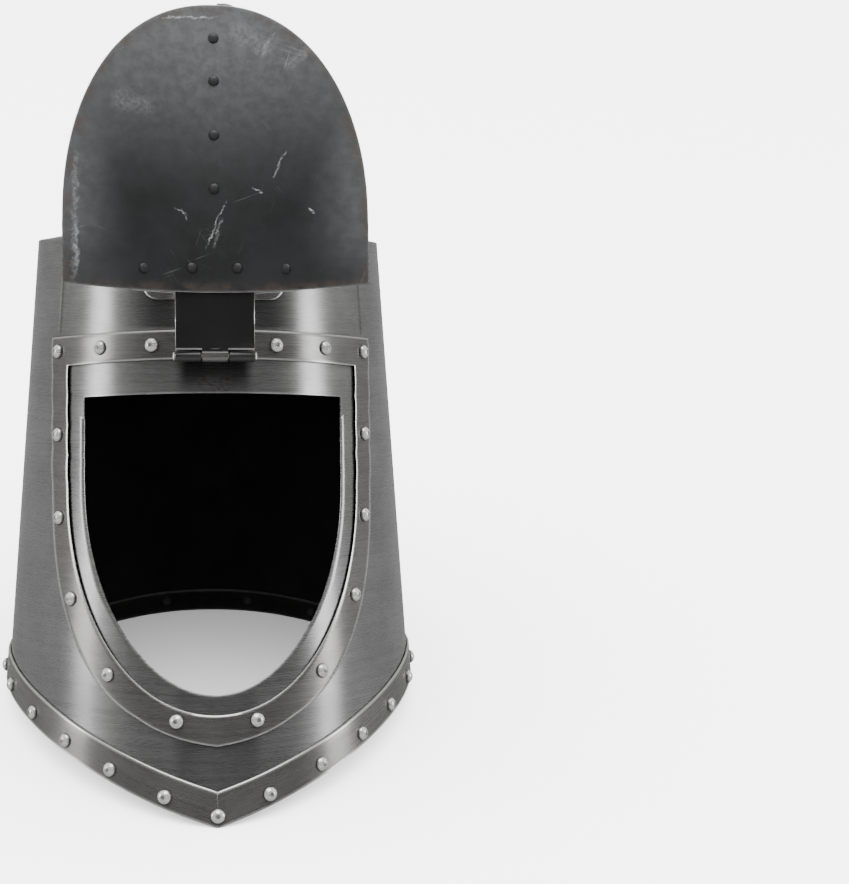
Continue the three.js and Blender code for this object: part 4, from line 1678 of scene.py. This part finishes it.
@dataclass(frozen=True)
class Shell:
    """The wall plates, the cap and the rim band."""

    front_end: float = math.radians(112.5)
    back_start: float = math.radians(97.5)
    rim_tuck: float = FITS.trim + FITS.gap
    band_height: float = 19 * MM
    lip_height: float = 14 * MM
    cap_rise: float = 12 * MM
    cap_flange: float = 10 * MM
    middle_z: float = 160 * MM
    step: float = math.radians(7.5)
    soft_edge: float = 0.74 * MM
    side_steps: int = 200
    cap_steps: int = 28
    flange_steps: int = 6

    def _panel(self, start: float, half: float, layer: float, foot_steps: int) -> tuple[Array, list[Span]]:
        """The outline of a wall plate, on a flat map of length round the plan and height.

        Args:
            start: Angle round the plan of its middle.
            half: Half of the angle that it spans.
            layer: Its outer face.
            foot_steps: Points along half of its foot.

        Returns:
            The outline, from the middle of its foot, and its four corners.
        """
        turns = np.linspace(0, half, foot_steps)
        foot = WALL.rim_point(start + turns, layer, self.rim_tuck)[:, 2]
        reach = half * WALL.round_radius
        steps = self.side_steps
        right = np.concatenate([
            np.stack([turns * WALL.round_radius, foot], -1),
            np.stack([np.full(steps, reach), np.linspace(foot[-1], WALL.top_z, steps)], -1),
            np.stack([np.linspace(reach, 0, steps), np.full(steps, WALL.top_z)], -1),
        ])
        return filled(mirrored(right), steps=3), both_sides([(reach, foot[-1]), (reach, WALL.top_z)])

    def front_plate(self) -> Surface:
        """The front plate round the face opening.

        Returns:
            Its surface.
        """
        middle = (0.0, self.middle_z)
        opening = filled(mirrored(np.concatenate([
            lower_curve(FACE.opening_half, FACE.opening_foot_z, FACE.opening_power),
            upper_arch(FACE.opening_half, FACE.opening_top_z, FACE.opening_arch),
        ])), steps=4)
        around = WALL.front_angle(opening[:, 0], opening[:, 1]) * WALL.round_radius
        corner = float(WALL.front_angle(np.array(FACE.opening_half), np.array(FACE.opening_top_z)))
        corners = both_sides([(corner * WALL.round_radius, FACE.opening_top_z)])
        hole = Outline(np.stack([around, opening[:, 1]], -1), middle, corners)
        panel, corners = self._panel(0.0, self.front_end, 0.0, foot_steps=500)
        outer = Outline(panel, middle, [*corners, tuple(panel[0])])
        return ring_plate(hole, outer, on_wall(0.0, FITS.sheet), Steps(rays=720, across=44))

    def back_plate(self) -> Surface:
        """The back plate, lapped inside the front plate."""
        panel, corners = self._panel(math.pi, math.pi - self.back_start, FITS.back_outer, foot_steps=400)
        outline = Outline(panel, (0.0, 0.5 * (panel[0, 1] + WALL.top_z)), corners)
        place = on_wall(FITS.back_outer, FITS.sheet, math.pi)
        return disc_plate(outline, place, Steps(rays=400, across=36))

    def _stepped(self, angle: Array, first: float, last: float, start: float) -> Array:
        """A layer that steps from one value to another behind an angle."""
        turn = np.arccos(np.cos(angle))
        return eased(first, last, (turn - start) / self.step)

    def band_layer(self, angle: Array) -> Array:
        """Inner face of the rim band's outer leg, which steps in behind the front plate's end."""
        return self._stepped(angle, FITS.gap, FITS.gap + FITS.back_outer, self.front_end)

    def lining_layer(self, angle: Array) -> Array:
        """Outer face of what lies inside the plates: the rim band's inner leg and the cap's flange."""
        return self._stepped(angle, FITS.back_outer, 2 * FITS.back_outer, self.back_start - self.step)

    def rim_band(self) -> Surface:
        """The band folded up over the plates' lower edge, with a tall leg outside and a lower one inside.

        Returns:
            Its section carried round the plan above the lower edge.
        """
        turns = full_turn(steps=720)
        thick, tall, low = FITS.trim, self.band_height, self.lip_height
        outer_leg = fillet_path([(thick, 0.0), (thick, tall), (0.0, tall), (0.0, thick)], self.soft_edge)
        inner_leg = fillet_path([(0.0, thick), (0.0, low), (-thick, low), (-thick, 0.0)], self.soft_edge)
        section = np.concatenate([outer_leg, inner_leg])
        inside = np.arange(len(section)) >= len(outer_leg)
        offset, above = section[:, 0], section[:, 1]
        layer = np.where(inside, self.lining_layer(turns), self.band_layer(turns))
        points = WALL.rim_point(turns + 0 * above, layer + offset, above + 0 * turns)
        flat = np.stack(np.broadcast_arrays(turns * WALL.round_radius, above), -1)
        height = np.where(inside, low, tall)
        edge = np.broadcast_to(np.minimum(height - above, above), points.shape[:2])
        sides = np.where(inside, Side.INNER.value, Side.OUTER.value)
        return lattice(points, flat, edge, sides, True, True)

    def top_cap(self) -> Surface:
        """The shallow dome with its flange turned down inside the wall.

        The dome rises over the wall's upper edge with 1 less the square of the share from the middle.

        Returns:
            Its surface.
        """
        turns = full_turn(steps=360)
        outer = self.lining_layer(turns)
        rise = np.linspace(0, 1, self.cap_steps)
        bend = np.linspace(0, 1, self.flange_steps)
        share = np.concatenate([rise, 1 + 0 * bend, 1 + 0 * bend[::-1], rise[::-1]])
        drop = np.concatenate([0 * rise, bend * self.cap_flange, bend[::-1] * self.cap_flange, 0 * rise])
        inset = np.concatenate([0 * rise, 0 * bend, FITS.sheet + 0 * bend, FITS.sheet + 0 * rise])
        edge = WALL.point(turns, WALL.top_z - drop, outer - inset)
        middle_y = (WALL.front_top_y + WALL.widest_y + WALL.back_reach) / 2
        middle = np.array([0.0, middle_y, WALL.top_z])
        points = edge * share[:, None] + middle * (1 - share)[:, None]
        under = np.concatenate([0 * rise, 0 * bend, 0 * bend, FITS.sheet + 0 * rise])
        points[..., 2] += self.cap_rise * (1 - share**2) - under
        flat = points[..., :2].copy()
        sides = np.where(inset > 0, Side.INNER.value, Side.OUTER.value)
        distance = np.full(points.shape[:2], NO_EDGE)
        return lattice(points, flat, distance, sides, True, False)

    def face_frame(self) -> Surface:
        """The raised frame round the opening, whose top is the brow band.

        Returns:
            Its surface.
        """
        inner = shield(
            FACE.frame_inner_half,
            FACE.frame_inner_foot_z,
            FACE.frame_inner_power,
            FACE.brow_foot_z,
            FACE.brow_arch,
        )
        outer = shield(
            FACE.frame_outer_half,
            FACE.frame_outer_foot_z,
            FACE.frame_outer_power,
            FACE.brow_foot_z + FACE.brow_height,
            FACE.brow_arch,
            FACE.frame_point,
        )
        middle = np.array([0.0, self.middle_z])
        hole, rim = centred(inner, middle), centred(outer, middle)
        place = on_front(FITS.trim_outer, FITS.trim)
        return ring_plate(hole, rim, place, Steps(rays=720, across=10), FITS.trim_edge)


class Share(NamedTuple):
    """A place on the strap: shares of its half width and of the drop between two heights."""

    across: float
    down: float


def laid_out(table: Sequence[Share], top_z: float, foot_z: float, steps: int) -> Array:
    """A smooth curve through a table of shares, between two heights.

    Args:
        table: The shares.
        top_z: Height of share 0.
        foot_z: Height of share 1.
        steps: How many points.

    Returns:
        The curve's points.
    """
    shares = np.array(table)
    z = top_z + (foot_z - top_z) * shares[:, 1]
    return smooth_curve(np.stack([FITTINGS.strap_half * shares[:, 0], z], -1), steps)


@dataclass(frozen=True)
class VisorParts:
    """The visor plate, its strap, cross bar and latch hook, and the hinge.

    Attributes:
        strap_waist: Half width of the strap from the cross bar down to its foot.
        hook_path: The hook's bends, from its rivet down to the frame.
        strap_middle_z: Height that the strap's mesh spreads from.
        ear_middle_drop: Drop of the point that the hinge plate's mesh spreads from.
        pin_crown: Rise of the pin's heads.
        knuckle_edge: Size of the softened edge of a knuckle.
    """

    strap_waist: tuple[Share, ...] = (
        Share(1.0, 0.0),
        Share(0.97, 0.1),
        Share(0.8, 0.22),
        Share(0.755, 0.39),
        Share(0.8, 0.56),
        Share(0.88, 0.73),
        Share(0.95, 0.86),
    )
    hook_path: tuple[Share, ...] = (
        Share(0.06, 0.1),
        Share(0.13, 0.32),
        Share(0.27, 0.54),
        Share(0.49, 0.63),
        Share(0.74, 0.76),
        Share(0.7, 0.87),
        Share(0.4, 0.96),
        Share(0.09, 0.97),
    )
    strap_middle_z: float = 165 * MM
    ear_middle_drop: float = 6 * MM
    pin_crown: float = 1 * MM
    knuckle_edge: float = 0.4 * MM

    def visor_plate(self) -> Surface:
        """The visor's own plate.

        Returns:
            Its surface.
        """
        outline = shield(
            FACE.frame_inner_half - FACE.visor_play,
            FACE.frame_inner_foot_z + FACE.visor_play,
            FACE.frame_inner_power,
            FACE.visor_top_z,
            FACE.visor_arch,
        )
        return disc_plate(outline, on_front(FITS.visor_outer, FITS.sheet), Steps(rays=600, across=40))

    def visor_strap(self) -> Surface:
        """The waisted strap with its neck and the middle knuckle.

        Returns:
            Its surface.
        """
        smooth = laid_out(self.strap_waist, FITTINGS.cross_foot_z, FITTINGS.strap_foot_z, steps=300)
        end_half, end_z = smooth[-1]
        turn = np.linspace(-QUARTER, 0, 80)[:-1]
        end_drop = end_z - FITTINGS.strap_foot_z
        end = np.stack([end_half * np.cos(turn), end_z + end_drop * np.sin(turn)], -1)
        tab = FITTINGS.knuckle_length / 2
        top_z = FACE.brow_foot_z + FACE.brow_arch - FITS.gap
        head = [(FITTINGS.strap_half, FITTINGS.shoulder_z), (tab, FITTINGS.shoulder_z), (tab, top_z)]
        points = filled(mirrored(np.concatenate([end, smooth[::-1], head])), steps=12)
        outline = Outline(points, (0.0, self.strap_middle_z), both_sides(head))
        leaf = disc_plate(outline, strap_place, Steps(rays=600, across=36), FITS.trim_edge)
        return Surface.joined([leaf, self._neck(), self._knuckle(0.0, Side.OUTER)])

    @staticmethod
    def _neck() -> Surface:
        """The short bend that carries the strap into its knuckle."""
        half = FITTINGS.knuckle_length / 2
        front, back = FITTINGS.hinge_y, FITTINGS.hinge_y + FITTINGS.knuckle_radius
        low, high = FITTINGS.shoulder_z - MM, FITTINGS.hinge_z
        ring = np.array([[front, low], [back, low], [back, high], [front, high]])
        points = np.stack([np.column_stack([np.full(4, x), ring]) for x in (-half, half)])
        edge = np.full((2, 4), NO_EDGE)
        return lattice(points, points[..., :2].copy(), edge, np.full(4, Side.OUTER.value), False, True)

    def cross_bar(self) -> Surface:
        """The cross bar, with rounded corners and an arched upper edge.

        Returns:
            Its surface.
        """
        flat_half = FITTINGS.cross_half - FITTINGS.cross_radius
        low = FITTINGS.cross_foot_z + FITTINGS.cross_radius
        high = FITTINGS.cross_top_z - FITTINGS.cross_arch - FITTINGS.cross_radius
        top = upper_arch(flat_half, FITTINGS.cross_top_z - FITTINGS.cross_arch, FITTINGS.cross_arch, steps=60)
        right = np.concatenate([rounded_end(flat_half, low, high, FITTINGS.cross_radius), top[1:]])
        outline = Outline(filled(mirrored(right), steps=10), (0.0, (low + high) / 2))
        return disc_plate(outline, cross_place, Steps(rays=480, across=28), FITS.trim_edge)

    def latch_hook(self) -> Surface:
        """The bent wire: rings of points at right angles to a smooth path.

        Returns:
            Its surface.
        """
        start_z = FITTINGS.cross_foot_z
        start_z += (FITTINGS.strap_foot_z - FITTINGS.cross_foot_z) * FITTINGS.strap_rivet_share
        flat_path = laid_out(self.hook_path, start_z, FACE.frame_inner_foot_z, steps=90)
        x, z = flat_path[:, 0], flat_path[:, 1]
        out = FITS.strap_outer + FITS.gap + FITTINGS.hook_radius
        path = np.stack([x, flattened(x, z, out, strap_follow(z)), z], -1)
        return wire(path, FITTINGS.hook_radius)

    def hinge_plate(self) -> Surface:
        """The T-shaped plate over the brow, with the two outer knuckles.

        Returns:
            Its surface.
        """
        tab = FITTINGS.knuckle_length / 2 + FITTINGS.knuckle_play
        middle = (0.0, (FITTINGS.ear_top_z + FITTINGS.ear_foot_z) / 2 - self.ear_middle_drop)
        notch_z = FITTINGS.hinge_z + FITTINGS.knuckle_radius + FITTINGS.knuckle_play
        narrow = tab * (middle[1] - notch_z) / (middle[1] - FITTINGS.hinge_z)
        flat_half = FITTINGS.ear_half - FITTINGS.ear_radius
        foot, top = FITTINGS.ear_foot_z + FITTINGS.ear_radius, FITTINGS.ear_top_z - FITTINGS.ear_radius
        neck = [
            (tab, FITTINGS.hinge_z),
            (FITTINGS.strap_half, FITTINGS.hinge_z),
            (FITTINGS.strap_half, FITTINGS.ear_foot_z),
        ]
        ear = rounded_end(flat_half, foot, top, FITTINGS.ear_radius)
        points = filled(mirrored(np.concatenate([[(narrow, notch_z), *neck], ear])), steps=20)
        outline = Outline(points, middle, both_sides(neck))
        leaf = disc_plate(outline, leaf_place, Steps(rays=600, across=30), FITS.trim_edge)
        pitch = FITTINGS.knuckle_pitch
        # These knuckles count as the inner side, so that they take the dark knuckle steel as painted shade.
        knuckles = [self._knuckle(middle_x, Side.INNER) for middle_x in (-pitch, pitch)]
        return Surface.joined([leaf, *knuckles])

    def hinge_pin(self) -> Surface:
        """The pin with a small head at each end."""
        half = FITTINGS.knuckle_pitch + FITTINGS.knuckle_length / 2 + FITS.gap
        head = FITTINGS.pin_head_radius
        turn = np.linspace(QUARTER, 0, 8)
        cap = np.stack([head * np.cos(turn), half + self.pin_crown * np.sin(turn)], -1)
        profile = np.concatenate([cap, [[FITTINGS.pin_radius, half]]])
        other = profile[::-1] * np.array([1.0, -1.0])
        return along_hinge(revolved(np.concatenate([profile, other]), sides=24), 0.0)

    def _knuckle(self, middle_x: float, side: Side) -> Surface:
        """One rolled knuckle of the hinge, with softened ends and the bore for the pin.

        Args:
            middle_x: Its place along the hinge.
            side: The side that it counts as.

        Returns:
            Its surface.
        """
        radius, half = FITTINGS.knuckle_radius, FITTINGS.knuckle_length / 2
        bore, soft = FITTINGS.pin_radius + FITS.gap, self.knuckle_edge
        right = np.array([[radius, half - soft], [radius - soft, half], [bore, half]])
        left = right[::-1] * np.array([1.0, -1.0])
        rolled = along_hinge(revolved(np.concatenate([left, right, left[:1]]), sides=40), middle_x)
        return replace(rolled, sides=np.full(len(rolled.sides), side.value))


def smooth_curve(points: Array, steps: int) -> Array:
    """A smooth curve through points: each stretch is a cubic that leaves along its neighbours.

    Args:
        points: The points.
        steps: How many points the curve gets.

    Returns:
        The curve's points.
    """
    ends = np.concatenate([2 * points[:1] - points[1:2], points, 2 * points[-1:] - points[-2:-1]])
    way = np.linspace(0, len(points) - 1, steps)
    k = np.minimum(way.astype(int), len(points) - 2)
    t = (way - k)[:, None]
    p0, p1, p2, p3 = (ends[k + n] for n in range(4))
    linear, square, cube = p2 - p0, 2 * p0 - 5 * p1 + 4 * p2 - p3, 3 * p1 - p0 - 3 * p2 + p3
    return 0.5 * (2 * p1 + linear * t + square * t**2 + cube * t**3)


def wire(path: Array, radius: float, sides: int = 12) -> Surface:
    """A round wire along a path, with its ends drawn in.

    Args:
        path: Points of its middle.
        radius: Its radius.
        sides: Steps round it.

    Returns:
        Its surface: a circle at right angles to the path at each point.
    """
    along = np.gradient(path, axis=0)
    along /= np.linalg.norm(along, axis=1, keepdims=True)
    across = np.cross(along, [0.0, -1.0, 0.0])
    across /= np.linalg.norm(across, axis=1, keepdims=True)
    over = np.cross(along, across)
    turn = full_turn(sides)[None]
    full = np.full(len(path), radius)
    full[[0, -1]] = 0.0
    ring = (across[:, None] * np.cos(turn) + over[:, None] * np.sin(turn)) * full[:, None, None]
    points = path[:, None] + ring
    flat = points[..., [0, 2]].copy()
    edge = np.full(points.shape[:2], radius)
    return lattice(points, flat, edge, np.full(sides, Side.OUTER.value), False, True)


def along_hinge(surface: Surface, middle_x: float) -> Surface:
    """A turned solid laid along the hinge axis."""
    origin = np.array([middle_x, FITTINGS.hinge_y, FITTINGS.hinge_z])
    return turned_to(surface, origin, np.array([1.0, 0.0, 0.0]))


@dataclass(frozen=True)
class RivetShape:
    """A rivet with a domed head and a hammered tail."""

    head_radius: float = 4.3 * MM
    head_height: float = 3.2 * MM
    tail_radius: float = 2.9 * MM
    tail_height: float = 1.1 * MM
    shank_radius: float = 2 * MM
    dome_power: float = 1.15
    tail_power: float = 0.7
    sides: int = 28

    def build(self, grip: float) -> Surface:
        """The rivet's surface, with its head's seat at height 0 and its axis along +Z.

        Args:
            grip: Thickness that it holds together.

        Returns:
            The profile turned about its axis.
        """
        turn = np.linspace(QUARTER, 0, 12)
        dome_z = self.head_height * np.sin(turn) ** self.dome_power
        dome = np.stack([self.head_radius * np.cos(turn), dome_z], -1)
        turn = np.linspace(0, QUARTER, 7)
        tail_z = -grip - self.tail_height * np.sin(turn)
        tail = np.stack([self.tail_radius * np.cos(turn) ** self.tail_power, tail_z], -1)
        shank = np.array([[self.shank_radius, 0.0], [self.shank_radius, -grip]])
        return revolved(np.concatenate([dome, shank, tail]), self.sides, len(dome) + 1)


@dataclass(frozen=True)
class RivetFamily:
    """Rivets of one kind.

    Attributes:
        name: The start of their CAD nodes' names.
        body: The body that they ride on.
        seat: The layer that their heads sit on.
        inner: The layer that their tails lie against.
        skin: Places the plate under the heads, where it does not follow the wall.
    """

    name: str
    body: Body
    seat: Callable[[float], float]
    inner: Callable[[float], float]
    skin: Optional[Placer] = None

    def build(self, maker: PieceMaker) -> None:
        """Makes one fine rivet for each CAD node of the family.

        Args:
            maker: Makes the pieces.
        """
        for node in sorted(n for n in frame["nodes"] if n[:-3] == self.name):
            low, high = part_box(node)
            middle = REST.worn(np.array((low + high) / 2), self.body)
            surface, finishes = self._at(middle), maker.finishes
            fine = f"{node}_fine"
            maker.make(fine, surface, self.body, finishes.rivet, finishes.tail, [node])

    def _at(self, middle: Array) -> Surface:
        """A rivet on the fine surface nearest to a worn point.

        Args:
            middle: The point.

        Returns:
            Its surface.
        """
        angle = WALL.angle_of(middle)
        if self.skin is None:
            origin = WALL.point(np.array(angle), np.array(middle[2]), self.seat(angle))
            normal = WALL.normal(angle, middle[2])
            grip = self.seat(angle) - self.inner(angle)
        else:
            origin, normal = skin_frame(self.skin, middle[0], middle[2])
            under = float(WALL.front_y(np.array(middle[0]), np.array(middle[2]), self.inner(angle)))
            grip = (under - origin[1]) * -normal[1]
        return turned_to(RivetShape().build(grip + FITS.gap), origin, normal)


def skin_frame(skin: Placer, x: float, z: float) -> tuple[Array, Array]:
    """A point on a skin's outer face and the outward normal there.

    Args:
        skin: Places the sheet.
        x: Place across.
        z: Height.

    Returns:
        The point and the normal.
    """
    step = 0.5 * MM
    xs = np.array([x, x + step, x - step, x, x])
    zs = np.array([z, z, z, z + step, z - step])
    points = skin(xs, zs, 0 * xs)
    normal = np.cross(points[1] - points[2], points[3] - points[4])
    return points[0], normal / np.linalg.norm(normal)


def level(layer: float) -> Callable[[float], float]:
    """A layer that is the same all round the helm."""
    return lambda _: layer


def rivet_families(shell: Shell) -> list[RivetFamily]:
    """The families of rivets that the frame holds as nodes.

    Args:
        shell: Gives the rim band's layers.

    Returns:
        The families.
    """

    def band_seat(angle: float) -> float:
        """Outer face of the rim band."""
        return float(shell.band_layer(np.array(angle))) + FITS.trim

    def band_inner(angle: float) -> float:
        """Inner face of the rim band's inner leg."""
        return float(shell.lining_layer(np.array(angle))) - FITS.trim

    seat, wall_inner, visor_inner = level(FITS.trim_outer), level(-FITS.sheet), level(FITS.gap)
    return [
        RivetFamily("rim_rivet", Body.HELM, band_seat, band_inner),
        RivetFamily("frame_rivet", Body.HELM, seat, wall_inner),
        RivetFamily("brow_rivet", Body.HELM, seat, wall_inner),
        RivetFamily("hinge_plate_rivet", Body.HELM, seat, wall_inner, leaf_place),
        RivetFamily("strap_rivet", Body.VISOR, seat, visor_inner, strap_place),
        RivetFamily("cross_bar_rivet", Body.VISOR, seat, visor_inner, cross_place),
    ]


@dataclass(frozen=True)
class SeamRivets:
    """The rivets of the side seams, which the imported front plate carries."""

    angle: float = math.radians(107)
    count: int = 7
    top_drop: float = 17 * MM
    foot_rise: float = 30 * MM

    def build(self) -> Surface:
        """All seam rivets as one surface."""
        rivet = RivetShape().build(FITS.sheet - FITS.back_outer + FITS.gap)
        placed = []
        for side in (-1, 1):
            angle = side * self.angle
            foot = float(WALL.rim_point(np.array(angle), 0.0, self.foot_rise)[2])
            for z in np.linspace(foot, WALL.top_z - self.top_drop, self.count):
                origin = WALL.point(np.array(angle), np.array(z), 0.0)
                placed.append(turned_to(rivet, origin, WALL.normal(angle, z)))
        return Surface.joined(placed)


def build_pieces(maker: PieceMaker) -> None:
    """Makes every piece of the helm.

    Args:
        maker: Turns surfaces into pieces.
    """
    shell, visor, finishes = Shell(), VisorParts(), maker.finishes
    helm_pieces = (
        ("front_plate", shell.front_plate(), finishes.front, "wall_steel"),
        ("back_plate", shell.back_plate(), finishes.wall, "wall_steel"),
        ("top_cap", shell.top_cap(), finishes.wall, "wall_steel"),
        ("rim_band", shell.rim_band(), finishes.trim, "trim_steel"),
        ("face_frame", shell.face_frame(), finishes.trim, "trim_steel"),
        ("hinge_plate", visor.hinge_plate(), finishes.trim, "trim_steel"),
        ("hinge_pin", visor.hinge_pin(), finishes.rivet, "rivet_steel"),
    )
    for node, surface, finish, slot in helm_pieces:
        # The hinge plate's knuckles and inner face take the dark knuckle steel, which is painted shade on the
        # knuckles.
        inner = finishes.knuckle if node == "hinge_plate" else finishes.black
        maker.make(f"{node}_fine", surface, Body.HELM, finish, inner, [node])
    maker.make("seam_rivets", SeamRivets().build(), Body.HELM, finishes.rivet, finishes.tail)
    visor_pieces = (
        ("visor_plate", visor.visor_plate(), finishes.wall, finishes.visor_inside, "visor_steel"),
        ("visor_strap", visor.visor_strap(), finishes.trim, finishes.black, "trim_steel"),
        ("cross_bar", visor.cross_bar(), finishes.trim, finishes.black, "trim_steel"),
        ("latch_hook", visor.latch_hook(), finishes.rivet, finishes.rivet, "rivet_steel"),
    )
    for node, surface, outer, inner, slot in visor_pieces:
        maker.make(f"{node}_fine", surface, Body.VISOR, outer, inner, [node])
    for family in rivet_families(shell):
        family.build(maker)


# Studio
def direction(azimuth: float, elevation: float) -> Array:
    """The unit vector towards a place round the helm, from its two angles in degrees."""
    a, e = math.radians(azimuth), math.radians(elevation)
    return np.array([math.sin(a) * math.cos(e), -math.cos(a) * math.cos(e), math.sin(e)])


@dataclass(frozen=True)
class SoftBox:
    """A soft rectangular light that faces a point on the helm.

    Attributes:
        name: The light's name.
        azimuth: Direction round the helm in degrees, 0 in front and 90 at +X.
        elevation: Height over the horizon in degrees.
        distance: Distance from the aim.
        size: Width and height.
        power: Power in watts.
        aim: The point that it faces.
    """

    name: str
    azimuth: float
    elevation: float
    distance: float
    size: Span
    power: float
    aim: tuple[float, float, float] = (0.0, 0.0, 0.2)

    def build(self) -> None:
        """Makes the light."""
        back = direction(self.azimuth, self.elevation)
        data = bpy.data.lights.new(self.name, "AREA")
        data.shape = "RECTANGLE"
        data.size, data.size_y = self.size
        data.energy = self.power
        added(self.name, data, facing(np.array(self.aim) + self.distance * back, back))


def facing(position: Array, back: Array, roll: float = 0.0) -> Matrix:
    """A pose whose own +Z points along `back`, turned by `roll` about it.

    Args:
        position: Its place.
        back: A unit vector.
        roll: The turn.

    Returns:
        The pose.
    """
    right = np.cross([0.0, 0.0, 1.0], back)
    right /= np.linalg.norm(right)
    up = np.cross(back, right)
    turned_right = math.cos(roll) * right + math.sin(roll) * up
    turned_up = -math.sin(roll) * right + math.cos(roll) * up
    pose = np.eye(4)
    pose[:3, :3] = np.stack([turned_right, turned_up, back], -1)
    pose[:3, 3] = position
    return Matrix(pose.tolist())


@dataclass(frozen=True)
class Studio:
    """The pale floor, the surroundings and the lights.

    Attributes:
        floor_half: Half of the floor's width.
        floor_seen: The floor's colour as the camera sees it.
        floor_mirrored: The floor's colour in reflections.
        floor_roughness: How dull the floor is.
        dome: Light of the surroundings on dull surfaces.
        room_front: What polished metal mirrors from in front, behind the camera.
        room_back: What it mirrors from the sides and the back.
        room_span: Depths of a direction between which the one passes into the other.
        lights: The soft boxes.
    """

    floor_half: float = 6.0
    floor_seen: Colour = (0.95, 0.95, 0.95, 1.0)
    floor_mirrored: Colour = (0.05, 0.05, 0.05, 1.0)
    dome: Colour = (6.3, 6.3, 6.3, 1.0)
    room_front: Colour = (0.062, 0.059, 0.057, 1.0)
    room_back: Colour = (0.42, 0.425, 0.4, 1.0)
    room_span: Span = (-0.42, -0.12)
    floor_roughness: float = 0.8
    lights: tuple[SoftBox, ...] = (
        SoftBox("left soft box", azimuth=-89, elevation=2, distance=1.5, size=(0.28, 0.85), power=3.8),
        SoftBox("right soft box", azimuth=82, elevation=2, distance=1.5, size=(0.28, 0.85), power=4.0),
        SoftBox("top soft box", azimuth=5, elevation=86, distance=1.9, size=(1.6, 1.6), power=22),
    )

    def build(self) -> None:
        """Makes the floor, the world and the lights."""
        mesh = bpy.data.meshes.new("floor")
        half = self.floor_half
        corners = [(-half, -half, 0), (half, -half, 0), (half, half, 0), (-half, half, 0)]
        mesh.from_pydata(corners, [], [(0, 1, 2, 3)])
        mesh.materials.append(self._floor_material())
        added("floor", mesh)
        self._build_world()
        for light in self.lights:
            light.build()

    def _floor_material(self) -> bpy.types.Material:
        """A plain pale floor that the metal mirrors darker than the camera sees it."""
        material = bpy.data.materials.new("pale floor")
        nodes = Nodes.of_new(material)
        seen = nodes.add("LightPath").outputs["Is Camera Ray"]
        colour = nodes.mixed(seen, self.floor_mirrored, self.floor_seen)
        shader = nodes.add("BsdfPrincipled", {"Base Color": colour, "Roughness": self.floor_roughness})
        nodes.add("OutputMaterial", {"Surface": shader.outputs[0]})
        return material

    def _build_world(self) -> None:
        """A pale dome for dull surfaces, and a grey room, darker in front, for polished metal."""
        world = bpy.data.worlds.new("studio")
        nodes = Nodes.of_new(world)
        _, depth, _ = nodes.add("SeparateXYZ", {0: nodes.add("TexCoord").outputs["Generated"]}).outputs
        room = nodes.mixed(nodes.mapped(depth, self.room_span), self.room_front, self.room_back)
        mirrored = nodes.add("LightPath").outputs["Is Glossy Ray"]
        colour = nodes.mixed(mirrored, self.dome, room)
        background = nodes.add("Background", {"Color": colour, "Strength": 1.0})
        nodes.add("OutputWorld", {"Surface": background.outputs[0]})
        bpy.context.scene.world = world


@dataclass(frozen=True)
class PhotoCamera:
    """The camera of the photo, found from the places of rivets and corners in it.

    Attributes:
        position: Its place in the row frame.
        azimuth: Direction from the helm to the camera, in degrees.
        elevation: Its tilt, in degrees.
        roll: Its turn about its own axis, in degrees.
        focal_pixels: Its focal length in pixels of the photo.
        width: Width of the photo in pixels.
        height: Height of the photo in pixels.
        far: Distance to which the camera sees.
    """

    position: tuple[float, float, float] = (-0.0289, -1.1424, 0.6129)
    azimuth: float = -8.07
    elevation: float = 21.28
    roll: float = 2.66
    focal_pixels: float = 1970.0
    width: int = 849
    height: int = 884
    far: float = 50.0

    def build(self) -> None:
        """Makes the scene's camera."""
        data = bpy.data.cameras.new("camera")
        data.lens = data.sensor_width * self.focal_pixels / max(self.width, self.height)
        data.clip_end = self.far
        back = direction(self.azimuth, self.elevation)
        pose = facing(np.array(self.position), back, math.radians(self.roll))
        camera = added("camera", data, pose)
        bpy.context.scene.camera = camera


def main() -> None:
    """Builds the pieces, the studio and the camera, and reports the pieces."""
    logging.basicConfig(level=logging.INFO, format="%(name)s: %(message)s")
    maker = PieceMaker(Finishes())
    build_pieces(maker)
    Studio().build()
    PhotoCamera().build()
    for name in maker.made:
        log.info("made %s", name)


if __name__ == "__main__":
    main()
